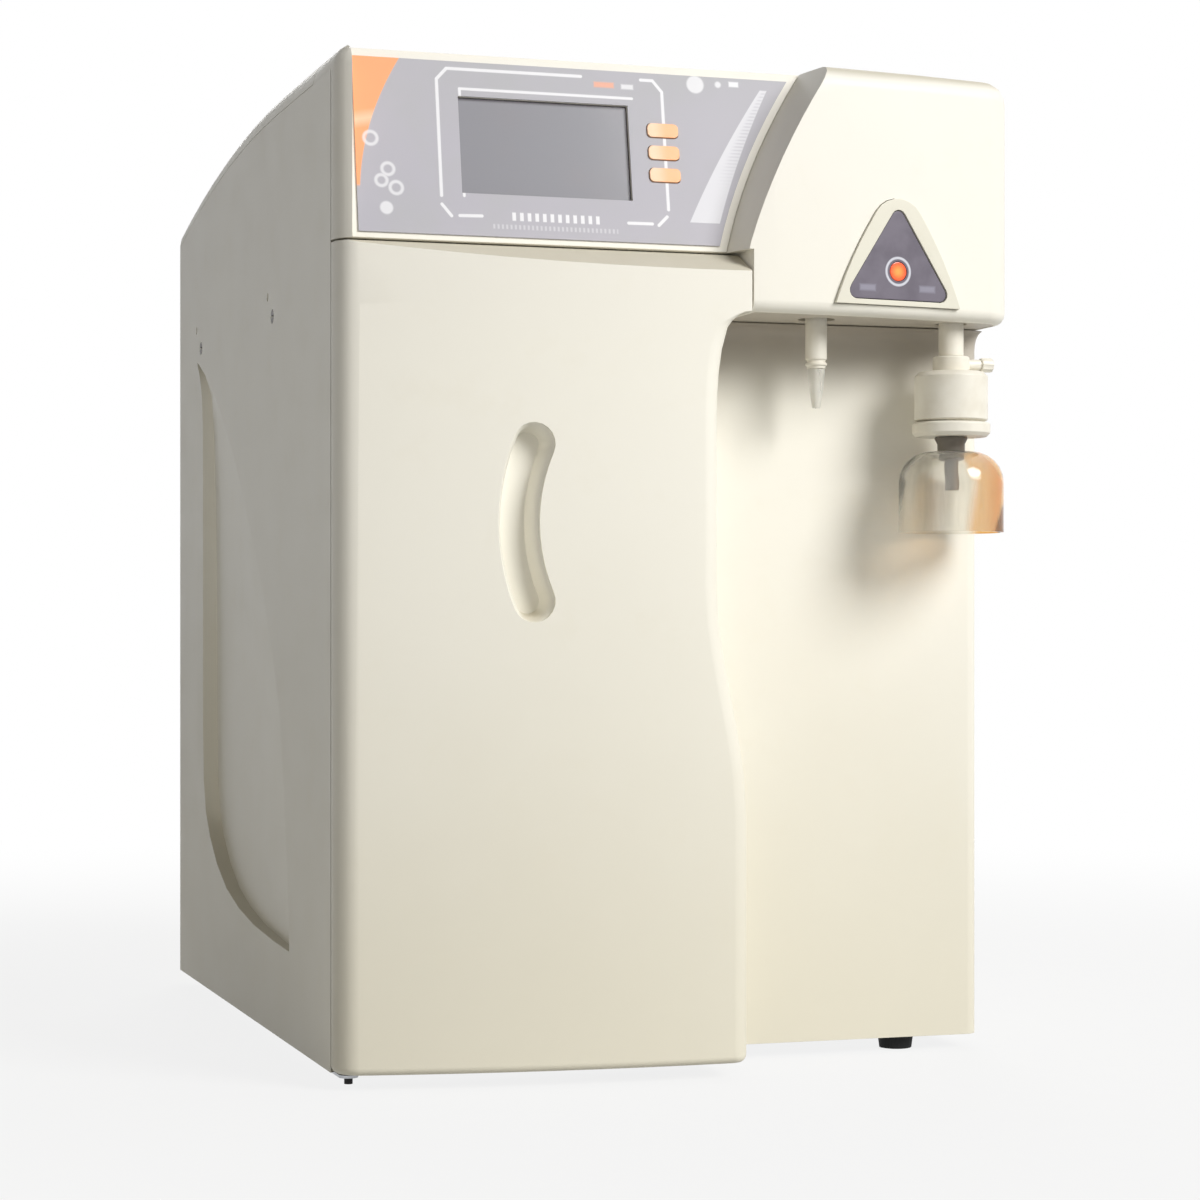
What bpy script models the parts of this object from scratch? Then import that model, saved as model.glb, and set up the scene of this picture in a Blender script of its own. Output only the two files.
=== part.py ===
# Bench-top ultrapure water system: a moulded casing with a hinged front door, a tilted
# control pocket, a dispense head with two outlets over an alcove, and the water path inside.
#
# Everything is drawn in the casing frame: x runs right from the left side, y runs back from
# the front corners, z runs up from the casing's bottom. At the end all pieces move together,
# so that the part's own origin lies under its middle, on the table.

import math

import bmesh
import bpy
from mathutils import Vector

MM = 0.001

# Casing
CASE_WIDTH = 375 * MM
CASE_DEPTH = 476 * MM
CASE_HEIGHT = 523 * MM
SHELL_WALL = 3 * MM
SHEET = 1.5 * MM
BOW = 21 * MM
LEFT_CORNER_RADIUS = 14 * MM
HEAD_CORNER_RADIUS = 20 * MM
TOP_EDGE_RADIUS = 12 * MM
TOP_FALL = 33 * MM
TOP_FALL_START = 150 * MM
SIDE_SEAM_DROP = 13 * MM
FRONT_SEAM_Y = 57 * MM
FRONT_RETURN_Y = 14.5 * MM

# Where the door ends and the dispense head begins, from the casing's middle and top
DIVIDE_OFFSET = 27.5 * MM
DIVIDE_X = CASE_WIDTH / 2 + DIVIDE_OFFSET
HEAD_HEIGHT = 132 * MM
HEAD_BOTTOM_Z = CASE_HEIGHT - HEAD_HEIGHT
PANEL_RISE = 99.5 * MM
PANEL_FOOT_Z = CASE_HEIGHT - PANEL_RISE
DOOR_TOP_GAP = 1.5 * MM
DOOR_TOP_Z = PANEL_FOOT_Z - DOOR_TOP_GAP

# Clearances
GAP = 0.3 * MM
SEAM = 1 * MM
OVERRUN = 20 * MM
LEAST_RADIUS = 0.5 * MM
PIN_CLEARANCE = 0.3 * MM

# Steps of the round stretches
CORNER_STEPS = 5
BOW_STEPS = 8
EDGE_STEPS = 4
ROUND_SIDES = 24
SMALL_SIDES = 16
SMOOTH_ANGLE = math.radians(32)

# Door and the S-shaped edge that it shares with the alcove
DOOR_BACK_Y = 8 * MM
DOOR_FOOT_RADIUS = 4 * MM
DOOR_EDGE_RADIUS = 10 * MM
DOOR_TOP_SLOPE_SHARE = 0.5
EDGE_WAIST = 16.5 * MM
EDGE_OVERHANG = 0.5 * MM
EDGE_FOOT_X = DIVIDE_X
EDGE_WAIST_X = DIVIDE_X - EDGE_WAIST
EDGE_TOP_X = DIVIDE_X + EDGE_OVERHANG
SWEEP_HEIGHT = 120 * MM
SWEEP_DROP = 143 * MM
SWEEP_END_Z = HEAD_BOTTOM_Z - SWEEP_DROP
SWEEP_START_Z = SWEEP_END_Z - SWEEP_HEIGHT
LEAN_HEIGHT = 66 * MM
LEAN_START_Z = HEAD_BOTTOM_Z - LEAN_HEIGHT
EDGE_CORNER_RADIUS = 8.5 * MM
EDGE_LEAN_X = EDGE_TOP_X - EDGE_CORNER_RADIUS
SWEEP_LEVELS = 6
LEAN_LEVELS = 5

# Finger grip in the door
GRIP_X = 90.5 * MM
GRIP_DROP = 142 * MM
GRIP_Z = DOOR_TOP_Z - GRIP_DROP
GRIP_LENGTH = 98 * MM
GRIP_WIDTH = 18 * MM
GRIP_ARC_RADIUS = 102 * MM
GRIP_DEPTH = 13 * MM
GRIP_FLARE = 2 * MM
GRIP_FLARE_DEPTH = 2.5 * MM
GRIP_TAPER = 2.5 * MM
GRIP_STEPS = 10
GRIP_END_STEPS = 10

# Hinge and catch
HINGE_X = 8 * MM
HINGE_Y = 10 * MM
PIN_RADIUS = 1.75 * MM
PIN_HEAD_RADIUS = 2.2 * MM
PIN_HEAD_HEIGHT = 3 * MM
PIN_REACH = 9 * MM
HINGE_PLATE_HALF = 5 * MM
HINGE_PLATE_LENGTH = 60 * MM
CATCH_DROP = 124 * MM
CATCH_Z = DOOR_TOP_Z - CATCH_DROP
CATCH_WIDTH = 26 * MM
CATCH_HEIGHT = 14 * MM
CATCH_DEPTH = 12 * MM
STRIKE_WIDTH = 16 * MM

# Dispense head
LIP_RADIUS = 6 * MM
LIP_HEIGHT = 4 * MM
FLANK_LEAN = 48 * MM
FLANK_FOOT_X = DIVIDE_X
FLANK_TOP_X = DIVIDE_X + FLANK_LEAN
FLANK_SAG = 5.3 * MM
FLANK_RUN = 6 * MM
FLANK_STEPS = 9

# Control pocket
PANEL_TILT = math.radians(10)
PANEL_THICKNESS = 2.5 * MM
PANEL_TOP_MARGIN = 2 * MM
RIM_WIDTH = 7.5 * MM
LABEL_LEFT_X = 11 * MM
LABEL_MARGIN = 5 * MM
LABEL_FOOT = 3 * MM
LABEL_THICKNESS = 0.7 * MM
SCREEN_OFFSET = 149 * MM
SCREEN_LEFT_X = DIVIDE_X - SCREEN_OFFSET
SCREEN_WIDTH = 92 * MM
SCREEN_HEIGHT = 52 * MM
SCREEN_FOOT = 25.5 * MM
SCREEN_RECESS = 1 * MM
GLASS_THICKNESS = 1.2 * MM
MODULE_BORDER = 6 * MM
MODULE_DEPTH = 9 * MM
BOARD_THICKNESS = 1.6 * MM
BOARD_BORDER = 16 * MM
BOARD_LEFT_X = SCREEN_LEFT_X - BOARD_BORDER
BOARD_FOOT = 14 * MM
BOARD_HEIGHT = 74 * MM
KEY_OFFSET = 18.5 * MM
KEY_X = SCREEN_LEFT_X + SCREEN_WIDTH + KEY_OFFSET
BOARD_RIGHT_X = KEY_X + BOARD_BORDER
KEY_WIDTH = 17 * MM
KEY_HEIGHT = 7.5 * MM
KEY_PITCH = 12.2 * MM
KEY_MIDDLE = 52.3 * MM
KEY_PROUD = 1 * MM
KEY_TRAVEL = 0.6 * MM
KEY_STEPS = 4

# Dispense button and its rim
BADGE_OFFSET = 5.25 * MM
BADGE_X = (EDGE_TOP_X + CASE_WIDTH) / 2 + BADGE_OFFSET
BADGE_RISE = 6 * MM
BADGE_FOOT_Z = HEAD_BOTTOM_Z + BADGE_RISE
RIM_ARCH_WIDTH = 76.5 * MM
RIM_ARCH_HEIGHT = 55 * MM
RIM_LEAN_SHARE = 0.5
RIM_BEND_SHARE = 0.245
RIM_SHOULDER_SHARE = 0.9
RIM_TIP_ANGLE = math.radians(33)
RIM_PROUD = 1.4 * MM
RIM_DEPTH = 6 * MM
BUTTON_WIDTH = 66 * MM
BUTTON_HEIGHT = 50.5 * MM
BUTTON_FOOT = 3.2 * MM
BUTTON_RADIUS = 4 * MM
BUTTON_DEPTH = 7 * MM
BUTTON_CLEARANCE = 0.5 * MM
BUTTON_PROUD = 0.6 * MM
BUTTON_TRAVEL = 2 * MM
LAMP_RADIUS = 5 * MM
LAMP_HEIGHT = 15 * MM
LAMP_THICKNESS = 1.2 * MM
SWITCH_WIDTH = 13 * MM
SWITCH_HEIGHT = 10 * MM
SWITCH_DEPTH = 6.5 * MM
BRACKET_WIDTH = 12 * MM
BRACKET_HEIGHT = 40 * MM
BRACKET_FOOT = 14 * MM

# Alcove
ALCOVE_Y = 44 * MM
ALCOVE_CORNER_RADIUS = 8 * MM
JAMB_FILLET = 12 * MM
ROOF_FILLET = 10 * MM
ALCOVE_TOP_GAP = 0.3 * MM

# Outlets
OUTLET_Y = 14 * MM
PURE_OFFSET = 50 * MM
PURE_X = DIVIDE_X + PURE_OFFSET
PURE_HOLE_RADIUS = 10 * MM
PURE_STEM_RADIUS = 5.8 * MM
PURE_STEM_DROP = 26 * MM
PURE_STEM_FOOT_Z = HEAD_BOTTOM_Z - PURE_STEM_DROP
PURE_TIP_LENGTH = 21 * MM
PURE_TIP_FOOT_Z = PURE_STEM_FOOT_Z - PURE_TIP_LENGTH
PURE_TIP_RADIUS = 4.6 * MM
PURE_TIP_END_RADIUS = 2.2 * MM
PURE_BORE_RADIUS = 1.2 * MM
COLLAR_WALL = 3 * MM
COLLAR_HEIGHT = 7 * MM
STEM_FLANGE = 3 * MM
BARB_HEIGHT = 8 * MM
GROOVE = 0.8 * MM
GROOVE_HEIGHT = 1.6 * MM
FILTER_INSET = 31 * MM
FILTER_X = CASE_WIDTH - FILTER_INSET
FILTER_HOLE_RADIUS = 8.5 * MM
FILTER_STEM_RADIUS = 6.8 * MM
FILTER_STEM_DROP = 17 * MM
FILTER_STEM_FOOT_Z = HEAD_BOTTOM_Z - FILTER_STEM_DROP
FILTER_COLLAR_RADIUS = 10 * MM
FILTER_COLLAR_HEIGHT = 8.5 * MM
FILTER_COLLAR_FOOT_Z = FILTER_STEM_FOOT_Z - FILTER_COLLAR_HEIGHT
VENT_RADIUS = 3 * MM
VENT_REACH = 17 * MM
VENT_CAP_RADIUS = 4 * MM
VENT_CAP_LENGTH = 7 * MM
VENT_CAP_RIBS = 10
VENT_CAP_RIB = 0.5 * MM
CAPSULE_RADIUS = 20 * MM
CAPSULE_HEIGHT = 27.5 * MM
CAPSULE_FOOT_Z = FILTER_COLLAR_FOOT_Z - CAPSULE_HEIGHT
CAPSULE_SHOULDER = 2.5 * MM
BASE_RADIUS = 21.3 * MM
BASE_HEIGHT = 8 * MM
BASE_FOOT_Z = CAPSULE_FOOT_Z - BASE_HEIGHT
BASE_ROUND = 2 * MM
NECK_RADIUS = 9 * MM
NECK_FOOT_RADIUS = 7.5 * MM
NOZZLE_RADIUS = 3.8 * MM
NOZZLE_BORE_RADIUS = 2.4 * MM
NOZZLE_FLANGE_RADIUS = 7 * MM
NOZZLE_FLANGE = 1.5 * MM
BELL_RADIUS = 28.5 * MM
NECK_HEIGHT = 8 * MM
BELL_TOP_Z = BASE_FOOT_Z - NECK_HEIGHT
BELL_HEIGHT = 44 * MM
BELL_FOOT_Z = BELL_TOP_Z - BELL_HEIGHT
NOZZLE_LENGTH = 21 * MM
NOZZLE_FOOT_Z = BELL_TOP_Z - NOZZLE_LENGTH
BELL_WALL = 1.6 * MM
BELL_SHOULDER = 17 * MM
BELL_STEPS = 6

# Side panels
SIDE_EDGE_BEVEL = 3 * MM
SCOOP_DEPTH = 9 * MM
SCOOP_BORDER = 4 * MM
SCOOP_SMOOTH = 2
SCREW_RADIUS = 4 * MM
SCREW_HEAD = 1.5 * MM
SCREW_SHANK_RADIUS = 2 * MM
SCREW_LENGTH = 9 * MM
SCREW_SLOT = 1 * MM
HOLE_RADIUS = 2.4 * MM
HOLE_DEPTH = 1.8 * MM
SCREW_PLACE_SHARES = ((0.351, 0.765), (0.834, 0.771))
HOLE_PLACE_SHARES = ((0.378, 0.788), (0.866, 0.795))
# The scoop's front crease and back edge at ten heights, as shares of the casing's depth
# and height, from its upper end down to its tip
SCOOP_SHARES = (
    ((0.858, 0.755), (0.862, 0.755)),
    ((0.748, 0.715), (0.826, 0.712)),
    ((0.609, 0.637), (0.818, 0.625)),
    ((0.502, 0.553), (0.817, 0.516)),
    ((0.399, 0.463), (0.817, 0.382)),
    ((0.315, 0.356), (0.812, 0.249)),
    ((0.290, 0.290), (0.765, 0.183)),
    ((0.275, 0.232), (0.647, 0.131)),
    ((0.262, 0.182), (0.466, 0.105)),
    ((0.252, 0.122), (0.252, 0.096)),
)

# Base tray and feet
TRAY_RIM = 12 * MM
TRAY_FRONT_Y = 20 * MM
FOOT_HEIGHT = 8 * MM
FOOT_RADIUS = 10 * MM
FOOT_FLARE = 1 * MM
FOOT_INSET_X = 43 * MM
FOOT_FRONT_Y = 62 * MM
FOOT_BACK_INSET = 40 * MM

# Rear panel and what it holds
REAR_PANEL_INSET = 6 * MM
VENT_SLOT_WIDTH = 70 * MM
VENT_SLOT_HEIGHT = 3 * MM
VENT_SLOT_PITCH = 9 * MM
VENT_SLOT_COUNT = 7
VENT_SLOT_X = CASE_WIDTH / 2
VENT_SLOT_DROP = 193 * MM
VENT_SLOT_Z = CASE_HEIGHT - VENT_SLOT_DROP
PORT_REACH = 12 * MM
PORT_RADIUS = 9 * MM
PORT_BORE_RADIUS = 4.8 * MM
PORT_BORE_DEPTH = 16 * MM
PORT_THREAD_RADIUS = 6 * MM
PORT_NUT = 5 * MM
PORT_NUT_RADIUS = 11 * MM
PORT_ROUND = 1.5 * MM
PORT_Z = 90 * MM
PORT_XS = {"feed_port": 70 * MM, "drain_port": 110 * MM}
PORT_INNER = 14 * MM
INLET_INSET = 65 * MM
INLET_X = CASE_WIDTH - INLET_INSET
INLET_Z = 70 * MM
INLET_WIDTH = 27 * MM
INLET_HEIGHT = 20 * MM
INLET_DEPTH = 24 * MM
INLET_WALL = 2.5 * MM
INLET_FLANGE = 5 * MM
INLET_FLANGE_THICKNESS = 2.5 * MM
INLET_CORNER_RADIUS = 3 * MM
INLET_WELL = 16 * MM
INLET_PIN_LENGTH = 9 * MM
INLET_PIN_WIDTH = 4 * MM
INLET_PIN_THICKNESS = 2 * MM
INLET_PIN_PITCH = 7 * MM
INLET_PIN_RISE = 4 * MM
ROCKER_PITCH = 27 * MM
ROCKER_X = INLET_X - ROCKER_PITCH
ROCKER_WIDTH = 11 * MM
ROCKER_HEIGHT = 18 * MM
ROCKER_TILT = math.radians(8)
ROCKER_FRAME_WALL = 2 * MM
ROCKER_PROUD = 3 * MM
ROCKER_CLEARANCE = 0.5 * MM
ROCKER_STEPS = 6

# Water path
PARTITION_Y = 158 * MM
PARTITION_DROP = 53 * MM
PARTITION_TOP_Z = CASE_HEIGHT - PARTITION_DROP
PARTITION_FOOT_LENGTH = 20 * MM
CARTRIDGE_RADIUS = 38 * MM
CARTRIDGE_Y = 108 * MM
CARTRIDGE_XS = {"pretreatment_cartridge": 60 * MM, "polishing_cartridge": 145 * MM}
CARTRIDGE_DROP = 46 * MM
CARTRIDGE_TOP_Z = HEAD_BOTTOM_Z - CARTRIDGE_DROP
CARTRIDGE_CAP = 18 * MM
CARTRIDGE_CAP_STEP = 2 * MM
CARTRIDGE_NECK_RADIUS = 13 * MM
REST_HEIGHT = 22 * MM
REST_LIP = 6 * MM
REST_WALL = 4 * MM
HEAD_BLOCK_HEIGHT = 34 * MM
HEAD_BLOCK_DEPTH = 60 * MM
HEAD_BLOCK_MARGIN = 30 * MM
HEAD_BLOCK_SOCKET = 8 * MM
OSMOSIS_X = 70 * MM
OSMOSIS_Y = 230 * MM
OSMOSIS_RADIUS = 34 * MM
OSMOSIS_HEIGHT = 330 * MM
OSMOSIS_CAP_RADIUS = 38 * MM
OSMOSIS_CAP = 30 * MM
LAMP_TUBE_X = 160 * MM
LAMP_TUBE_Y = 225 * MM
LAMP_TUBE_RADIUS = 26 * MM
LAMP_CAP_RADIUS = 29 * MM
LAMP_TUBE_HEIGHT = 300 * MM
LAMP_TUBE_CAP = 16 * MM
PUMP_X = 165 * MM
PUMP_BACK_INSET = 106 * MM
PUMP_Y = CASE_DEPTH - PUMP_BACK_INSET
PUMP_RADIUS = 34 * MM
PUMP_LENGTH = 90 * MM
PUMP_HEAD_RADIUS = 30 * MM
PUMP_HEAD_LENGTH = 40 * MM
PUMP_FOOT_WIDTH = 44 * MM
PUMP_PORT_RADIUS = 7 * MM
PUMP_PORT = 8 * MM
SUPPLY_INSET = 50 * MM
SUPPLY_Z = 120 * MM
SUPPLY_WIDTH = 110 * MM
SUPPLY_DEPTH = 50 * MM
SUPPLY_HEIGHT = 140 * MM
SUPPLY_ROUND = 2 * MM
VALVE_WIDTH = 30 * MM
VALVE_DEPTH = 28 * MM
VALVE_BODY = 16 * MM
VALVE_COIL = 30 * MM
VALVE_COIL_WIDTH = 22 * MM
TUBE_RADIUS = 3.2 * MM
TUBE_SIDES = 10
TUBE_BEND_ROUNDS = 2
CORNER_CUT_SHARE = 0.25

# Plain-coloured finishes: 8-bit colour, roughness, metallic
FINISHES = {
    "ivory_shell": ((238, 234, 218), 0.42, 0.0),
    "beige_rim": ((219, 214, 191), 0.45, 0.0),
    "grey_film": ((195, 195, 199), 0.5, 0.0),
    "screen_glass": ((150, 148, 155), 0.15, 0.0),
    "orange_key": ((255, 182, 118), 0.45, 0.0),
    "violet_button": ((112, 106, 118), 0.4, 0.0),
    "orange_lamp": ((238, 96, 28), 0.25, 0.0),
    "white_plastic": ((236, 235, 228), 0.4, 0.0),
    "clear_plastic": ((226, 224, 212), 0.1, 0.0),
    "dark_plastic": ((46, 46, 50), 0.5, 0.0),
    "black_rubber": ((26, 26, 28), 0.8, 0.0),
    "steel": ((176, 178, 182), 0.35, 1.0),
    "circuit_green": ((28, 92, 62), 0.5, 0.0),
    "blue_tube": ((92, 140, 196), 0.35, 0.0),
}


def spread(start, end, steps):
    return [start + (end - start) * step / steps for step in range(steps + 1)]


def limit(value):
    return max(0.0, min(1.0, value))


def arc(centre, radius, start, end, steps):
    return [
        (centre[0] + radius * math.cos(angle), centre[1] + radius * math.sin(angle))
        for angle in spread(start, end, steps)
    ]


def rectangle(low_u, high_u, low_v, high_v):
    return [(low_u, low_v), (high_u, low_v), (high_u, high_v), (low_u, high_v)]


def rounded(corners, radii, steps):
    # Outline through the corners, given counter-clockwise, each rounded by its own radius
    outline = []
    count = len(corners)
    for index, (corner, radius) in enumerate(zip(corners, radii)):
        here = Vector(corner)
        to_last = (Vector(corners[index - 1]) - here).normalized()
        to_next = (Vector(corners[(index + 1) % count]) - here).normalized()
        half_angle = to_last.angle(to_next) / 2
        middle = (to_last + to_next).normalized()
        centre = here + middle * (radius / math.sin(half_angle))
        start = here + to_last * (radius / math.tan(half_angle)) - centre
        end = here + to_next * (radius / math.tan(half_angle)) - centre
        first = math.atan2(start.y, start.x)
        turn = (math.atan2(end.y, end.x) - first) % math.tau
        outline += arc(centre, radius, first, first + turn, steps)
    return outline


def rounded_rectangle(low_u, high_u, low_v, high_v, radius, steps):
    return rounded(rectangle(low_u, high_u, low_v, high_v), [radius] * 4, steps)


def in_plan(u, v, depth):
    return Vector((u, v, depth))


def in_front(u, v, depth):
    return Vector((u, depth, v))


def in_side(u, v, depth):
    return Vector((depth, u, v))


def on_panel(u, v, out):
    # On the tilted control panel: along x, up the panel, out of its face
    y = v * math.sin(PANEL_TILT) - out * math.cos(PANEL_TILT)
    z = PANEL_FOOT_Z + v * math.cos(PANEL_TILT) + out * math.sin(PANEL_TILT)
    return Vector((u, y, z))


def badge_angle():
    return math.asin((BADGE_X - CASE_WIDTH / 2) / bow_radius())


def on_badge(u, v, out):
    # On the plane that touches the bowed head under the button
    angle = badge_angle()
    x = BADGE_X + u * math.cos(angle) + out * math.sin(angle)
    y = front_y(BADGE_X) + u * math.sin(angle) - out * math.cos(angle)
    return Vector((x, y, BADGE_FOOT_Z + v))


def mesh_object(name, points, faces):
    mesh = bpy.data.meshes.new(name)
    mesh.from_pydata([tuple(point) for point in points], [], faces)
    work = bmesh.new()
    work.from_mesh(mesh)
    bmesh.ops.recalc_face_normals(work, faces=work.faces)
    work.to_mesh(mesh)
    work.free()
    piece = bpy.data.objects.new(name, mesh)
    bpy.context.scene.collection.objects.link(piece)
    return piece


def loft(name, rings):
    # Closed body through rings of as many points each, with flat ends
    count = len(rings[0])
    points = [point for ring in rings for point in ring]
    faces = [tuple(range(count)), tuple(range(len(points) - count, len(points)))]
    for level in range(len(rings) - 1):
        for index in range(count):
            here = level * count + index
            beside = level * count + (index + 1) % count
            faces.append((here, beside, beside + count, here + count))
    return mesh_object(name, points, faces)


def prism(name, outline, place, low, high):
    rings = [[place(u, v, depth) for u, v in outline] for depth in (low, high)]
    return loft(name, rings)


def block(name, low, high):
    outline = rectangle(low[0], high[0], low[1], high[1])
    return prism(name, outline, in_plan, low[2], high[2])


def turned(name, profile, centre, axis="Z", sides=ROUND_SIDES):
    # Solid of revolution. The profile holds (radius, height) pairs and either starts and
    # ends on the axis, or is a loop that stays off it and leaves a bore.
    points = []
    rows = []
    for radius, height in profile:
        row = []
        for side in range(sides if radius > 0 else 1):
            angle = math.tau * side / sides
            u, v = radius * math.cos(angle), radius * math.sin(angle)
            spun = {"X": (height, u, v), "Y": (v, height, u), "Z": (u, v, height)}[axis]
            row.append(len(points))
            points.append(Vector(centre) + Vector(spun))
        rows.append(row)
    bored = all(radius > 0 for radius, _ in profile)
    faces = []
    for index in range(len(rows) if bored else len(rows) - 1):
        low, high = rows[index], rows[(index + 1) % len(rows)]
        for side in range(sides):
            after = (side + 1) % sides
            corners = [low[side % len(low)], low[after % len(low)]]
            corners += [high[after % len(high)], high[side % len(high)]]
            faces.append(tuple(dict.fromkeys(corners)))
    return mesh_object(name, points, [face for face in faces if len(face) > 2])


def settle_modifiers(piece):
    bpy.context.view_layer.update()
    graph = bpy.context.evaluated_depsgraph_get()
    mesh = bpy.data.meshes.new_from_object(piece.evaluated_get(graph))
    piece.modifiers.clear()
    piece.data = mesh


def combine(piece, tool, operation):
    step = piece.modifiers.new(operation.lower(), "BOOLEAN")
    step.operation = operation
    step.solver = "EXACT"
    step.object = tool
    settle_modifiers(piece)
    bpy.data.objects.remove(tool)
    return piece


def cut(piece, *tools):
    for tool in tools:
        combine(piece, tool, "DIFFERENCE")
    return piece


def join(piece, *tools):
    for tool in tools:
        combine(piece, tool, "UNION")
    return piece


def set_origin(piece, point):
    # Puts the piece's origin on its joint's axis
    for vertex in piece.data.vertices:
        vertex.co -= Vector(point)
    piece.location = point
    return piece


def linear_channel(level):
    share = level / 255
    if share <= 0.04045:
        return share / 12.92
    return ((share + 0.055) / 1.055) ** 2.4


def finish(piece, finish_name):
    colour, roughness, metallic = FINISHES[finish_name]
    material = bpy.data.materials.get(finish_name) or bpy.data.materials.new(finish_name)
    material.use_nodes = True
    shader = material.node_tree.nodes["Principled BSDF"]
    shader.inputs["Base Color"].default_value = (*map(linear_channel, colour), 1)
    shader.inputs["Roughness"].default_value = roughness
    shader.inputs["Metallic"].default_value = metallic
    piece.data.materials.clear()
    piece.data.materials.append(material)
    piece.data.shade_smooth()
    piece.data.set_sharp_from_angle(angle=SMOOTH_ANGLE)
    return piece


def bow_radius():
    half = CASE_WIDTH / 2
    return (half ** 2 + BOW ** 2) / (2 * BOW)


def front_y(x):
    radius = bow_radius()
    return radius - BOW - math.sqrt(radius ** 2 - (x - CASE_WIDTH / 2) ** 2)


def top_z(y):
    share = limit((y - TOP_FALL_START) / (CASE_DEPTH - TOP_FALL_START))
    return CASE_HEIGHT - TOP_FALL * share ** 2


def front_run(inset, right_x, right_radius, left_back, right_back):
    # The bowed front in plan, from the left side round to the right one, set in by inset
    full = bow_radius()
    middle = (CASE_WIDTH / 2, full - BOW)
    left_radius = max(LEFT_CORNER_RADIUS, inset + LEAST_RADIUS)
    right_radius = max(right_radius, inset + LEAST_RADIUS)
    centres = []
    for x, radius in ((left_radius, left_radius), (right_x - right_radius, right_radius)):
        y = middle[1] - math.sqrt((full - radius) ** 2 - (x - middle[0]) ** 2)
        centres.append((x, y))
    left, right = centres
    left_angle = math.atan2(left[1] - middle[1], left[0] - middle[0])
    right_angle = math.atan2(right[1] - middle[1], right[0] - middle[0])
    run = [(inset, left_back)]
    run += arc(left, left_radius - inset, -math.pi, left_angle, CORNER_STEPS)
    run += arc(middle, full - inset, left_angle, right_angle, BOW_STEPS)[1:-1]
    run += arc(right, right_radius - inset, right_angle, 0, CORNER_STEPS)
    run.append((right_x - inset, right_back))
    return run


def edge_x(z):
    # The S-shaped edge of the door: foot, waist, slow lean and round corner under the head
    sweep = limit((z - SWEEP_START_Z) / (SWEEP_END_Z - SWEEP_START_Z))
    sweep = sweep ** 2 * (3 - 2 * sweep)
    lean = limit((z - LEAN_START_Z) / LEAN_HEIGHT) ** 3
    rise = 1 - limit((HEAD_BOTTOM_Z - z) / EDGE_CORNER_RADIUS)
    corner = EDGE_CORNER_RADIUS * (1 - math.sqrt(1 - rise ** 2))
    waist = EDGE_FOOT_X + (EDGE_WAIST_X - EDGE_FOOT_X) * sweep
    return waist + (EDGE_LEAN_X - EDGE_WAIST_X) * lean + corner


def edge_levels(low, high):
    levels = [low]
    levels += spread(SWEEP_START_Z, SWEEP_END_Z, SWEEP_LEVELS)
    levels += spread(LEAN_START_Z, HEAD_BOTTOM_Z - EDGE_CORNER_RADIUS, LEAN_LEVELS)[:-1]
    levels += [HEAD_BOTTOM_Z - EDGE_CORNER_RADIUS * (1 - math.sin(angle))
               for angle in spread(0, math.pi / 2, EDGE_STEPS)[:-1]]
    return levels + [high]


def flank_x(z):
    # Front edge of the pocket's right flank, which leans right as it rises
    share = (z - PANEL_FOOT_Z) / (CASE_HEIGHT - PANEL_FOOT_Z)
    chord = FLANK_FOOT_X + (FLANK_TOP_X - FLANK_FOOT_X) * share
    return chord - FLANK_SAG * 4 * share * (1 - share)


def panel_height():
    return (CASE_HEIGHT - PANEL_TOP_MARGIN - PANEL_FOOT_Z) / math.cos(PANEL_TILT)


def panel_outline(left_x, right_margin, foot, head):
    # Outline on the tilted panel whose right side follows the flank
    outline = [(left_x, head), (left_x, foot)]
    for v in spread(foot, head, FLANK_STEPS):
        z = PANEL_FOOT_Z + v * math.cos(PANEL_TILT)
        outline.append((flank_x(z) - FLANK_RUN - right_margin, v))
    return outline


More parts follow.
